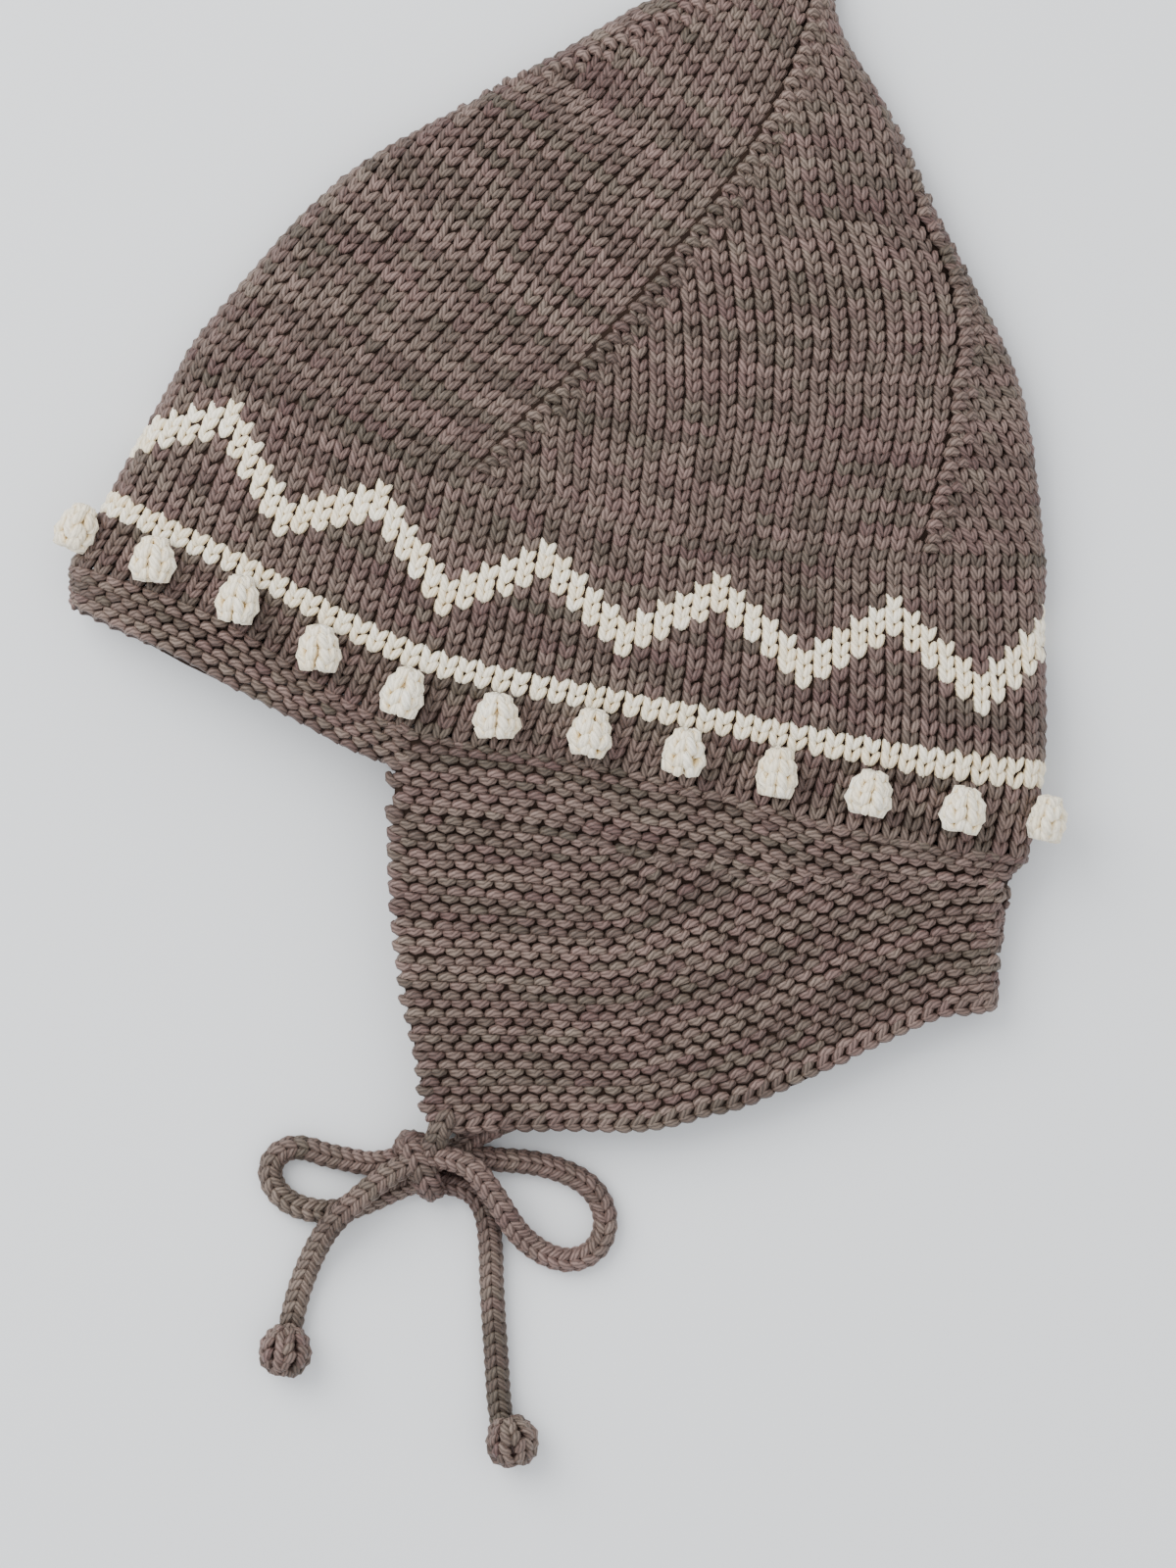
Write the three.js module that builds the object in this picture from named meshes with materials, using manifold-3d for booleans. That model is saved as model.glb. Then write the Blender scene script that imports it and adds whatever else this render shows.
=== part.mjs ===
// Hand-knitted baby bonnet with earflaps, bobble trim and ties, folded flat front to back, lying on its side.
// Millimetres. +X runs from the face opening to the nape, +Y from the ties to the tip of the crown, and +Z
// is up, away from the surface. The near layer is the upper one, and the far layer lies on z = 0.
import * as THREE from 'three';
import { mergeVertices } from 'three/addons/utils/BufferGeometryUtils.js';
import Module from 'manifold-3d';

const wasm = await Module();
wasm.setup();

// Driving dimensions
const CROWN_WIDTH = 220; // front fold to nape fold, across the crown as it lies
const CROWN_HEIGHT = 206; // lowest point of the crown's base to the tip
const CROWN_THICKNESS = 24; // over both layers in the middle of the crown
const FOLD_THICKNESS = 12; // over both layers at the folds and at the free edges
const WALL = 3; // stocking stitch fabric
const GARTER_WALL = 4; // garter stitch fabric
const RIDGE_HEIGHT = 0.8; // decrease line over the fabric beside it
const BAND_HEIGHT = 11; // garter band over the forehead
const FLAP_DROP = 91; // crown's base to the tie corner of an earflap
const FLAP_BOW = 4; // how far the front edge of an earflap pulls in
const NAPE_BOW = 3; // how far the nape fold pulls in under the crown
const FAR_DROOP = 1.8; // how far the far layer peeps out below the near one
const BOBBLE_COUNT = 22;
const BOBBLE_WIDTH = 9.7;
const BOBBLE_LENGTH = 11; // along the crown's columns of stitches
const BOBBLE_HEIGHT = 7.4; // proud of the fabric
const BOBBLE_PRESSED = 4.2; // height of a bobble pressed between the fabric and the surface
const FOLD_FLOP = 0.17; // how far the bobbles on the folds lie towards the near layer, in bobble spacings
const CORD_DIAMETER = 5.6;
const END_BOBBLE_DIAMETER = 12;
const KNOT_LENGTH = 16;
const KNOT_WIDTH = 10;
const KNOT_HEIGHT = 11.4;
const GAP = 0.3; // clearance between pieces that touch

const CORD_STEP = 4.6; // length of one facet along a tie
const CORD_SIDES = 8;
const BOBBLE_SIDES = 10;
const BALL_SIDES = 12; // knot and end bobbles
const FOLD_STEPS = 4; // facets round a fold

const taupeWool = new THREE.MeshStandardMaterial({ color: 0x8a7468, roughness: 0.95, metalness: 0 });
const creamWool = new THREE.MeshStandardMaterial({ color: 0xede8da, roughness: 0.95, metalness: 0 });

// Crown: rows of knitting from the base (rise 0) to the tip (rise 1), as the near layer shows them.
// Each place is a share of the crown's width from the front fold, and of its height above the base.
// decrease and napeDecrease are where the two decrease lines cross the row. thick is a share of the crown's
// thickness.
const CROWN_ROWS = [
  { rise: 0.000, front: [0.004, 0.321], temple: [0.158, 0.261], decrease: [0.336, 0.146],
    side: [0.573, 0.095], napeDecrease: [0.858, 0.018], nape: [0.980, 0.000], thick: 0.85 },
  { rise: 0.086, front: [0.043, 0.395], temple: [0.188, 0.318], decrease: [0.365, 0.222],
    side: [0.588, 0.169], napeDecrease: [0.868, 0.113], nape: [0.998, 0.097], thick: 0.92 },
  { rise: 0.237, front: [0.111, 0.530], temple: [0.243, 0.450], decrease: [0.399, 0.366],
    side: [0.608, 0.312], napeDecrease: [0.873, 0.275], nape: [0.999, 0.270], thick: 1.00 },
  { rise: 0.289, front: [0.138, 0.577], temple: [0.273, 0.496], decrease: [0.413, 0.416],
    side: [0.638, 0.352], napeDecrease: [0.863, 0.326], nape: [1.001, 0.323], thick: 1.00 },
  { rise: 0.474, front: [0.278, 0.741], temple: [0.405, 0.644], decrease: [0.533, 0.546],
    side: [0.713, 0.511], napeDecrease: [0.895, 0.502], nape: [0.975, 0.505], thick: 0.98 },
  { rise: 0.658, front: [0.445, 0.845], temple: [0.543, 0.767], decrease: [0.642, 0.689],
    side: [0.768, 0.667], napeDecrease: [0.868, 0.659], nape: [0.909, 0.658], thick: 0.84 },
  { rise: 0.737, front: [0.517, 0.889], temple: [0.601, 0.823], decrease: [0.687, 0.755],
    side: [0.773, 0.742], napeDecrease: [0.838, 0.736], nape: [0.874, 0.737], thick: 0.75 },
  { rise: 0.829, front: [0.600, 0.940], temple: [0.664, 0.888], decrease: [0.729, 0.836],
    side: [0.771, 0.829], napeDecrease: [0.806, 0.827], nape: [0.835, 0.828], thick: 0.62 },
  { rise: 0.921, front: [0.690, 0.970], temple: [0.723, 0.948], decrease: [0.757, 0.923],
    side: [0.769, 0.919], napeDecrease: [0.780, 0.917], nape: [0.790, 0.918], thick: 0.44 },
  { rise: 1.000, front: [0.767, 1.000], temple: [0.767, 1.000], decrease: [0.767, 1.000],
    side: [0.767, 1.000], napeDecrease: [0.767, 1.000], nape: [0.767, 1.000], thick: 0.30 },
];
const ROW_PLACES = ['front', 'temple', 'decrease', 'side', 'napeDecrease', 'nape'];
const PLACE_STEP = 1 / (ROW_PLACES.length - 1);
const DECREASE_AT = 2 * PLACE_STEP; // where along a row the side decrease line runs
const NAPE_DECREASE_AT = 4 * PLACE_STEP;
const CROWN_RISES = [0, 0.04, 0.086, 0.13, 0.18, 0.237, 0.289, 0.35, 0.41, 0.474,
  0.535, 0.595, 0.658, 0.698, 0.737, 0.783, 0.829, 0.875, 0.921, 0.955, 0.98];
const HOLLOW_TOP = 0.875; // rise of the last row that is hollow
const BOBBLE_RISE = 0.04;
const LIFT_ENDS = [0.09, 0.22]; // rises between which the far layer comes down from the pressed bobbles
const RIDGE_ENDS = [0.27, 0.31]; // rises between which the decrease lines start
const NAPE_RIDGE_END = [0.60, 0.66]; // rises between which the nape decrease line leaves over the fold
const RIDGE_TIP = [0.9, 0.97]; // rises between which the side decrease line ends
const RIDGE_SPREAD = 0.016; // half width of a decrease line, as a share of the row
const RIDGE_SPREAD_MOST = 0.05; // the same near the tip, as a share of the flat part of the row
const FLATTEST = 0.42; // most that a fold's radius is of a row's width, near the tip
const FULLNESS = 0.9; // below 1 the middle of a row is broad and full
const CROWN_COLUMNS = { front: 8, back: 9, nape: 3 }; // facets before, between and after the decrease lines

// Lower edge of the forehead band: shares of the band's height from the crown's base, down the rows' place.
const BAND_EDGE = [
  { at: 0.0, x: 0.04, y: -0.78 },
  { at: 0.1, x: -0.24, y: -1.00 },
  { at: 0.2, x: -0.30, y: -1.15 },
  { at: 0.3, x: -0.26, y: -0.80 },
  { at: 0.4, x: -0.16, y: -0.66 },
];

// Lower edge of an earflap: shares of the flap's drop from the crown's base.
const FLAP_EDGE = [
  { at: 0.4, x: 0.082, y: -1.000 },
  { at: 0.5, x: 0.060, y: -0.928 },
  { at: 0.6, x: 0.036, y: -0.875 },
  { at: 0.7, x: 0.000, y: -0.708 },
  { at: 0.8, x: -0.060, y: -0.494 },
  { at: 0.9, x: -0.055, y: -0.402 },
  { at: 1.0, x: -0.087, y: -0.347 },
];
const FLAP_LEVELS = [0, 0.08, 0.18, 0.3, 0.44, 0.58, 0.72, 0.86, 1];
const BAND_LEVELS = [0, 0.33, 0.67, 1];
const LIFT_REACH = 30; // how far below the base the far layer comes down to the surface
const FRONT_PULL_REACH = 0.15; // places over which an earflap's front edge pulls in
const NAPE_PULL_AT = 0.8; // place from which the nape pulls in
const NAPE_PULL_RISE = 0.6; // below 1 the nape pulls in soonest just under the crown
const SWELL_LOSS = 1.5; // how fast the crown's fullness leaves the pieces below it
const BAND_COLUMNS = 8;
const FLAP_COLUMNS = { side: 10, nape: 3 };

// Ties: routes of the cords' centre lines, from the tie corner of the near earflap. The left tie comes from
// the near flap, the right one from the far flap. z is height above the surface over the cord's own radius.
const TIE_NEAR = [[2.3, -0.8, 7.2], [2.2, -1.9, 7.0], [1.3, -3.2, 6.5], [0.1, -4.8, 5.7], [-1.2, -6.4, 4.8]];
const TIE_FAR = [[8.6, -2.1, 0.1], [8.6, -3.2, 0.1], [7.2, -4.4, 0.2], [5.0, -5.4, 0.6], [2.6, -6.4, 1.6]];
const LOOP_LEFT = [
  [-3.1, -6.6, 1.2], [-8.4, -7.3, 0.5], [-13.2, -7.9, 0], [-18.3, -7, 0], [-23.3, -5.9, 0], [-27.5, -4.5, 0],
  [-31.5, -4.5, 0], [-34.6, -6.6, 0], [-35.7, -9.9, 0], [-34.4, -13.7, 0], [-31, -16.8, 0], [-26.8, -18.3, 0],
  [-22.4, -18.8, 0], [-17.8, -17.9, 0], [-13, -16.2, 0], [-8.6, -14.2, 0], [-3.6, -12.1, 0.4],
];
const TAIL_LEFT = [
  [-3.7, -7.8, 5.9], [-7.3, -9.3, 6], [-10.4, -11.3, 6], [-13.5, -13.7, 6], [-16.5, -16.3, 6],
  [-19.6, -19.2, 5.6], [-22.5, -22.5, 4], [-24.9, -26.4, 2], [-26.9, -30.6, 0.5], [-28.6, -35, 0],
  [-29.9, -39.4, 0], [-30.8, -43.4, 0], [-31.4, -46.5, 0.4],
];
const LOOP_RIGHT = [
  [1, -6, 5.9], [4.6, -6.4, 6], [7.3, -7.3, 6.1], [9.9, -8.6, 6.2], [12.1, -11, 6.2],
  [14.3, -13.9, 6.1], [16.5, -17.4, 5.4], [18.5, -20.7, 4], [20.9, -24, 2.2], [24, -26.8, 0.7],
  [27.5, -28.8, 0], [31.5, -29.7, 0], [35.4, -28.8, 0], [38.3, -26.4, 0], [39.8, -22.7, 0],
  [39.6, -18.5, 0], [37.6, -14.5, 0], [34.8, -11.9, 0], [31, -9.9, 0], [27.1, -8.6, 0],
  [23.1, -7.7, 0], [19.1, -7.3, 0], [15.2, -7, 0], [11.7, -6.6, 0], [8.1, -6.4, 0], [3.6, -6.4, 0.2],
];
const TAIL_RIGHT = [
  [2.2, -12, 0.2], [6.4, -12.7, 0], [10, -14.4, 0], [12.2, -17.2, 0], [13.5, -21.2, 0], [14.1, -27.5, 0],
  [14.3, -34.8, 0], [14.7, -42.2, 0],
  [15.2, -49.5, 0], [15.6, -56.1, 0], [16, -61.8, 0.2], [16.7, -66.5, 0.5],
];
const KNOT_AT = [-2.2, -8.9];
const KNOT_TURN = -0.49; // the knot's long axis leans towards the right tail
const END_BOBBLE_LEFT_AT = [-32.1, -49.9];
const END_BOBBLE_RIGHT_AT = [18.9, -70.2];

// Smooth step from 0 at low to 1 at high.
function ease(low, high, value) {
  return THREE.MathUtils.smoothstep(value, low, high);
}

// Smooth value of one numeric column of a table at a given key, by cubic Hermite spans of uneven length.
function fromTable(table, key, at, read) {
  const last = table.length - 1;
  let span = 0;
  while (span < last - 1 && at > table[span + 1][key]) span += 1;
  const slope = (index) => {
    const before = Math.max(index - 1, 0);
    const after = Math.min(index + 1, last);
    return (read(table[after]) - read(table[before])) / (table[after][key] - table[before][key]);
  };
  const width = table[span + 1][key] - table[span][key];
  const s = (at - table[span][key]) / width;
  const start = read(table[span]);
  const end = read(table[span + 1]);
  return start * (1 + 2 * s) * (1 - s) ** 2 + width * slope(span) * s * (1 - s) ** 2
    + end * s ** 2 * (3 - 2 * s) - width * slope(span + 1) * s ** 2 * (1 - s);
}

// Plan curve of one row of the crown, from the front fold to the nape fold.
function rowCurve(rise) {
  const points = ROW_PLACES.map((place) => new THREE.Vector3(
    CROWN_WIDTH * fromTable(CROWN_ROWS, 'rise', rise, (row) => row[place][0]),
    CROWN_HEIGHT * fromTable(CROWN_ROWS, 'rise', rise, (row) => row[place][1]),
    0,
  ));
  return new THREE.CatmullRomCurve3(points, false, 'catmullrom', 0.5);
}

// How high the pressed bobbles hold the far layer off the surface.
const LIFT = BOBBLE_PRESSED + GAP;
function crownLift(rise) {
  return LIFT * (1 - ease(LIFT_ENDS[0], LIFT_ENDS[1], rise));
}
function lowerLift(distance) {
  return LIFT * (1 - ease(0, LIFT_REACH, distance));
}

// Evenly spaced places from one place to another, both included.
function spread(from, to, steps) {
  return Array.from({ length: steps + 1 }, (_, step) => from + ((to - from) * step) / steps);
}

// One row of points over both layers: along the near layer, round the nape fold, back along the far layer
// and round the front fold, as far as there are such folds. plan and farPlan give a place's point in plan,
// lift and thickness its heights, and raise what stands proud of the near layer. frontFold and napeFold are
// the directions out of the folds.
function foldedRow({
  from, to, plan, farPlan, radius, lift, thickness, raise, frontFold, napeFold, columns,
}) {
  const arc = (at, outward) => {
    const centre = plan(at);
    return spread(0, Math.PI, FOLD_STEPS).slice(1, -1).map((angle) => new THREE.Vector3(
      centre.x + outward.x * radius * Math.sin(angle),
      centre.y + outward.y * radius * Math.sin(angle),
      lift + radius + radius * Math.cos(angle),
    ));
  };
  const near = columns.map((at) => plan(at).setZ(lift + thickness(at) + raise(at)));
  const far = columns.map((at) => farPlan(at).setZ(lift)).reverse();
  const nape = napeFold ? arc(to, napeFold) : [];
  const front = frontFold ? arc(from, frontFold).reverse() : [];
  return [...near, ...nape, ...far, ...front];
}

// Everything about the crown's cross-section at one rise.
function crownSection(rise) {
  const curve = rowCurve(rise);
  const middle = CROWN_THICKNESS * fromTable(CROWN_ROWS, 'rise', rise, (row) => row.thick);
  const frontRun = curve.getPoint(0).distanceTo(curve.getPoint(PLACE_STEP));
  const napeRun = curve.getPoint(1).distanceTo(curve.getPoint(1 - PLACE_STEP));
  const width = curve.getPoint(0).distanceTo(curve.getPoint(DECREASE_AT))
    + curve.getPoint(DECREASE_AT).distanceTo(curve.getPoint(1));
  const radius = Math.min(FOLD_THICKNESS / 2, middle / 2, width * FLATTEST);
  const from = Math.min((PLACE_STEP * radius) / frontRun, 0.5);
  const to = Math.max(1 - (PLACE_STEP * radius) / napeRun, 0.5);
  const rest = Math.max(middle - 2 * radius, 0);
  const swell = (at) => Math.max(Math.sin((Math.PI * (at - from)) / (to - from)), 0) ** FULLNESS;
  const thickness = (at) => 2 * radius + rest * swell(at);
  const ridge = RIDGE_HEIGHT * ease(RIDGE_ENDS[0], RIDGE_ENDS[1], rise)
    * (1 - ease(RIDGE_TIP[0], RIDGE_TIP[1], rise));
  const napeRidge = ridge * (1 - ease(NAPE_RIDGE_END[0], NAPE_RIDGE_END[1], rise));
  const frontFold = curve.getTangent(from).negate();
  const napeFold = curve.getTangent(to);
  return { curve, from, to, radius, thickness, ridge, napeRidge, frontFold, napeFold, lift: crownLift(rise) };
}

// One whole ring of the crown's outer face, with the decrease lines raised. Near the tip the side line stays
// in the middle part of the row.
function crownRing(rise) {
  const section = crownSection(rise);
  const { curve, from, to } = section;
  const room = to - from;
  const side = from + room * THREE.MathUtils.clamp((DECREASE_AT - from) / room, 0.3, 0.7);
  const spreadOut = Math.min(RIDGE_SPREAD, room * RIDGE_SPREAD_MOST);
  const nape = Math.min(NAPE_DECREASE_AT, to - 4 * spreadOut);
  const columns = [
    ...spread(from, side - spreadOut, CROWN_COLUMNS.front), side,
    ...spread(side + spreadOut, nape - spreadOut, CROWN_COLUMNS.back), nape,
    ...spread(nape + spreadOut, to, CROWN_COLUMNS.nape),
  ];
  const raise = (at) => {
    if (at === side) return section.ridge;
    if (at === nape) return section.napeRidge;
    return 0;
  };
  const plan = (at) => curve.getPoint(at);
  return foldedRow({ ...section, plan, farPlan: plan, raise, columns });
}

// Closed wall between an outer and an inner grid of points. Rows run down the piece and columns round it.
// ring joins each row's end to its start. tips close the last row of each grid, where there are any.
function wallGeometry(outer, inner, ring, tips) {
  const positions = [];
  const indices = [];
  const addGrid = (grid) => {
    const start = positions.length / 3;
    for (const row of grid) {
      for (const point of row) positions.push(point.x, point.y, point.z);
    }
    const count = grid[0].length;
    return (row, column) => start + row * count + (ring ? column % count : column);
  };
  const quad = (a, b, c, d) => indices.push(a, b, c, a, c, d);
  const outerAt = addGrid(outer);
  const innerAt = addGrid(inner);
  const count = outer[0].length;
  const columns = ring ? count : count - 1;
  for (let column = 0; column < columns; column += 1) {
    for (let row = 0; row < outer.length - 1; row += 1) {
      const next = row + 1;
      quad(outerAt(row, column), outerAt(row, column + 1), outerAt(next, column + 1), outerAt(next, column));
    }
    for (let row = 0; row < inner.length - 1; row += 1) {
      const next = row + 1;
      quad(innerAt(row, column), innerAt(next, column), innerAt(next, column + 1), innerAt(row, column + 1));
    }
    quad(outerAt(0, column + 1), outerAt(0, column), innerAt(0, column), innerAt(0, column + 1));
    if (!tips) {
      const low = outer.length - 1;
      quad(outerAt(low, column), outerAt(low, column + 1), innerAt(low, column + 1), innerAt(low, column));
    }
  }
  if (tips) {
    const outerTip = positions.length / 3;
    positions.push(tips.outer.x, tips.outer.y, tips.outer.z);
    positions.push(tips.inner.x, tips.inner.y, tips.inner.z);
    for (let column = 0; column < columns; column += 1) {
      indices.push(outerAt(outer.length - 1, column), outerAt(outer.length - 1, column + 1), outerTip);
      indices.push(innerAt(inner.length - 1, column + 1), innerAt(inner.length - 1, column), outerTip + 1);
    }
  }
  if (!ring) {
    for (let row = 0; row < outer.length - 1; row += 1) {
      const next = row + 1;
      quad(outerAt(row, 0), outerAt(next, 0), innerAt(next, 0), innerAt(row, 0));
      quad(outerAt(next, columns), outerAt(row, columns), innerAt(row, columns), innerAt(next, columns));
    }
  }
  const geometry = new THREE.BufferGeometry();
  geometry.setAttribute('position', new THREE.Float32BufferAttribute(positions, 3));
  geometry.setIndex(indices);
  return geometry;
}

// The same grid moved inwards by a wall, without leaving each row's own upright curtain, so that the edges of
// two pieces that meet stay parallel. above is the neighbour's row that the first row follows on from.
function insideOf(grid, wall, ring, above) {
  return grid.map((row, r) => row.map((point, c) => {
    const count = row.length;
    const before = ring ? row[(c + count - 1) % count] : row[Math.max(c - 1, 0)];
    const after = ring ? row[(c + 1) % count] : row[Math.min(c + 1, count - 1)];
    const followsOn = above && r === 0;
    const up = followsOn ? above[c] : grid[Math.max(r - 1, 0)][c];
    const down = followsOn ? point : grid[Math.min(r + 1, grid.length - 1)][c];
    const across = down.clone().sub(up).setZ(0);
    const outward = after.clone().sub(before).cross(across).normalize();
    return point.clone().addScaledVector(outward, -wall);
  }));
}

function makeMesh(name, geometry, material) {
  const mesh = new THREE.Mesh(geometry, material);
  mesh.name = name;
  return mesh;
}

// Crown: one knitted bag with a hollow, closed at the tip.
function makeCrown() {
  const outer = CROWN_RISES.map(crownRing);
  const hollow = outer.filter((_, index) => CROWN_RISES[index] <= HOLLOW_TOP);
  const inner = insideOf(hollow, WALL, true);
  const tipPlan = rowCurve(1).getPoint(0.5);
  const tipHeight = (CROWN_THICKNESS * CROWN_ROWS.at(-1).thick) / 2;
  const lastRow = inner.at(-1);
  const sum = lastRow.reduce((total, point) => total.add(point), new THREE.Vector3());
  const middle = sum.divideScalar(lastRow.length);
  const toTip = new THREE.Vector3(tipPlan.x, tipPlan.y, tipHeight).sub(middle).normalize();
  const tips = {
    outer: new THREE.Vector3(tipPlan.x, tipPlan.y, tipHeight),
    inner: middle.addScaledVector(toTip, WALL),
  };
  return makeMesh('crown', wallGeometry(outer, inner, true, tips), taupeWool);
}

// Shared by the garter stitch pieces: the crown's base, a gap below it, and the heights that it hands on.
const base = crownSection(0);
function belowBase(at) {
  const place = base.curve.getPoint(at);
  const above = rowCurve(CROWN_RISES[1]).getPoint(at);
  return place.clone().addScaledVector(place.clone().sub(above).normalize(), GAP);
}

// One level of a garter stitch piece. drop gives a place's way down from the crown's base at that level.
// Level null is the crown's own row above the base.
function garterRow({ level, drop, columns, frontFold, napeFold, from, to, farExtra }) {
  if (level === null) {
    const row = rowCurve(CROWN_RISES[1]);
    const rowPlan = (at) => row.getPoint(at);
    return foldedRow({
      ...base, from, to, columns, frontFold, napeFold, plan: rowPlan, farPlan: rowPlan, raise: () => 0,
    });
  }
  const plan = (at) => belowBase(at).add(drop(at, level));
  const farPlan = (at) => plan(at).add(new THREE.Vector3(0, -FAR_DROOP * level * farExtra(at), 0));
  const reach = drop((columns[0] + columns.at(-1)) / 2, level).length();
  const swell = (at) => (base.thickness(at) - 2 * base.radius) * (1 - level) ** SWELL_LOSS;
  return foldedRow({
    from, to, plan, farPlan, columns, frontFold, napeFold,
    radius: base.radius,
    lift: lowerLift(reach),
    thickness: (at) => 2 * base.radius + swell(at),
    raise: () => 0,
  });
}

// Forehead band: from the near earflap round the front fold to the far earflap.
function makeBand() {
  const lastRun = base.curve.getPoint(PLACE_STEP).distanceTo(base.curve.getPoint(DECREASE_AT));
  const columns = spread(base.from, DECREASE_AT - (PLACE_STEP * GAP) / lastRun, BAND_COLUMNS);
  const drop = (at, level) => new THREE.Vector3(
    BAND_HEIGHT * level * fromTable(BAND_EDGE, 'at', at, (row) => row.x),
    BAND_HEIGHT * level * fromTable(BAND_EDGE, 'at', at, (row) => row.y),
    0,
  );
  const farExtra = (at) => at / DECREASE_AT;
  const [above, ...outer] = [null, ...BAND_LEVELS].map((level) => {
    const row = garterRow({ level, drop, columns, frontFold: base.frontFold, from: base.from, farExtra });
    // The row runs from the near earflap round the fold to the far one, instead of from the fold.
    return [...row.slice(columns.length), ...row.slice(0, columns.length)].reverse();
  });
  const inner = insideOf(outer, GARTER_WALL, false, above);
  return makeMesh('front_band', wallGeometry(outer, inner, false), taupeWool);
}

// Earflaps and nape: one piece from the near flap's front edge round the nape fold to the far flap's.
function makeEarFlap() {
  const columns = [
    ...spread(DECREASE_AT, NAPE_PULL_AT, FLAP_COLUMNS.side),
    ...spread(NAPE_PULL_AT, base.to, FLAP_COLUMNS.nape).slice(1),
  ];
  const drop = (at, level) => {
    const fromFront = Math.min((at - DECREASE_AT) / FRONT_PULL_REACH, 1);
    const fromNape = Math.max((at - NAPE_PULL_AT) / (1 - NAPE_PULL_AT), 0);
    const frontPull = FLAP_BOW * (1 - fromFront) * Math.sin(Math.PI * level);
    const napePull = NAPE_BOW * fromNape * Math.sin(Math.PI * level ** NAPE_PULL_RISE);
    return new THREE.Vector3(
      FLAP_DROP * level * fromTable(FLAP_EDGE, 'at', at, (row) => row.x) - frontPull - napePull,
      FLAP_DROP * level * fromTable(FLAP_EDGE, 'at', at, (row) => row.y),
      0,
    );
  };
  const farExtra = (at) => (1 - at) / (1 - DECREASE_AT);
  const [above, ...outer] = [null, ...FLAP_LEVELS].map(
    (level) => garterRow({ level, drop, columns, napeFold: base.napeFold, to: base.to, farExtra }).reverse(),
  );
  const inner = insideOf(outer, GARTER_WALL, false, above);
  const corner = outer.at(-1).at(-1);
  return { mesh: makeMesh('ear_flap', wallGeometry(outer, inner, false), taupeWool), corner };
}

// Outlines of a fabric bobble, a pressed one and a ball from the seat up, as shares of half the width and of
// the height.
const BOBBLE_PROFILE = [[0, 0], [0.62, 0], [0.9, 0.16], [1, 0.42], [0.86, 0.72], [0.5, 0.94], [0, 1]];
const PRESSED_PROFILE = [[0, 0], [0.6, 0], [0.92, 0.22], [1, 0.5], [0.92, 0.78], [0.6, 1], [0, 1]];
const BALL_PROFILE = [
  [0, 0], [0.35, 0], [0.74, 0.17], [0.96, 0.36], [1, 0.52], [0.88, 0.75], [0.5, 0.94], [0, 1],
];

// Round solid from such an outline, standing on z = 0 with its length along y.
function roundGeometry(profile, width, length, height, sides) {
  const outline = profile.map(([radius, rise]) => new THREE.Vector2((radius * width) / 2, rise * height));
  const geometry = new THREE.LatheGeometry(outline, sides);
  geometry.rotateX(Math.PI / 2);
  geometry.scale(1, length / width, 1);
  return geometry;
}

// Bobbles: evenly spaced by stitches round the base of the crown, from the front fold over the near layer.
function makeBobbles() {
  const section = crownSection(BOBBLE_RISE);
  const ring = crownRing(BOBBLE_RISE);
  const above = crownRing(LIFT_ENDS[0]);
  const frontTurn = ring.length - Math.floor(FOLD_STEPS / 2);
  const order = ring.map((_, index) => (index + frontTurn) % ring.length);
  const stops = [0];
  order.forEach((place, index) => {
    const next = order[(index + 1) % order.length];
    stops.push(stops[index] + ring[place].distanceTo(ring[next]));
  });
  const total = stops.at(-1);
  const placeAt = (distance) => {
    const index = Math.max(stops.findIndex((stop) => stop > distance) - 1, 0);
    const share = (distance - stops[index]) / (stops[index + 1] - stops[index]);
    const here = order[index % order.length];
    const next = order[(index + 1) % order.length];
    const point = ring[here].clone().lerp(ring[next], share);
    const higher = above[here].clone().lerp(above[next], share);
    const along = ring[next].clone().sub(ring[here]).normalize();
    return { point, along, column: higher.sub(point).normalize() };
  };
  const half = BOBBLE_COUNT / 2;
  return Array.from({ length: BOBBLE_COUNT }, (_, index) => {
    let turn = index;
    if (index === 0) turn = FOLD_FLOP;
    if (index === half) turn = half - FOLD_FLOP;
    const { point, along, column } = placeAt((total * turn) / BOBBLE_COUNT);
    const pressed = index > half;
    const outward = pressed ? new THREE.Vector3(0, 0, -1) : along.clone().cross(column).negate().normalize();
    if (outward.z < 0 && !pressed) outward.negate();
    const up = column.clone().addScaledVector(outward, -column.dot(outward)).normalize();
    const side = up.clone().cross(outward).normalize();
    const height = pressed ? BOBBLE_PRESSED : BOBBLE_HEIGHT;
    const profile = pressed ? PRESSED_PROFILE : BOBBLE_PROFILE;
    const geometry = roundGeometry(profile, BOBBLE_WIDTH, BOBBLE_LENGTH, height, BOBBLE_SIDES);
    const name = `bobble_${String(index + 1).padStart(2, '0')}`;
    const mesh = makeMesh(name, geometry, creamWool);
    mesh.quaternion.setFromRotationMatrix(new THREE.Matrix4().makeBasis(side, up, outward));
    const seat = pressed ? new THREE.Vector3(point.x, point.y, section.lift) : point;
    mesh.position.copy(seat).addScaledVector(outward, GAP);
    return mesh;
  });
}

// Closed mesh to solid and back, for cutting the ties where they press against each other.
function toSolid(geometry) {
  const bare = geometry.clone();
  bare.deleteAttribute('normal');
  bare.deleteAttribute('uv');
  const merged = mergeVertices(bare, 1e-4);
  return new wasm.Manifold(new wasm.Mesh({
    numProp: 3,
    vertProperties: new Float32Array(merged.attributes.position.array),
    triVerts: new Uint32Array(merged.index.array),
  }));
}

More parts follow.
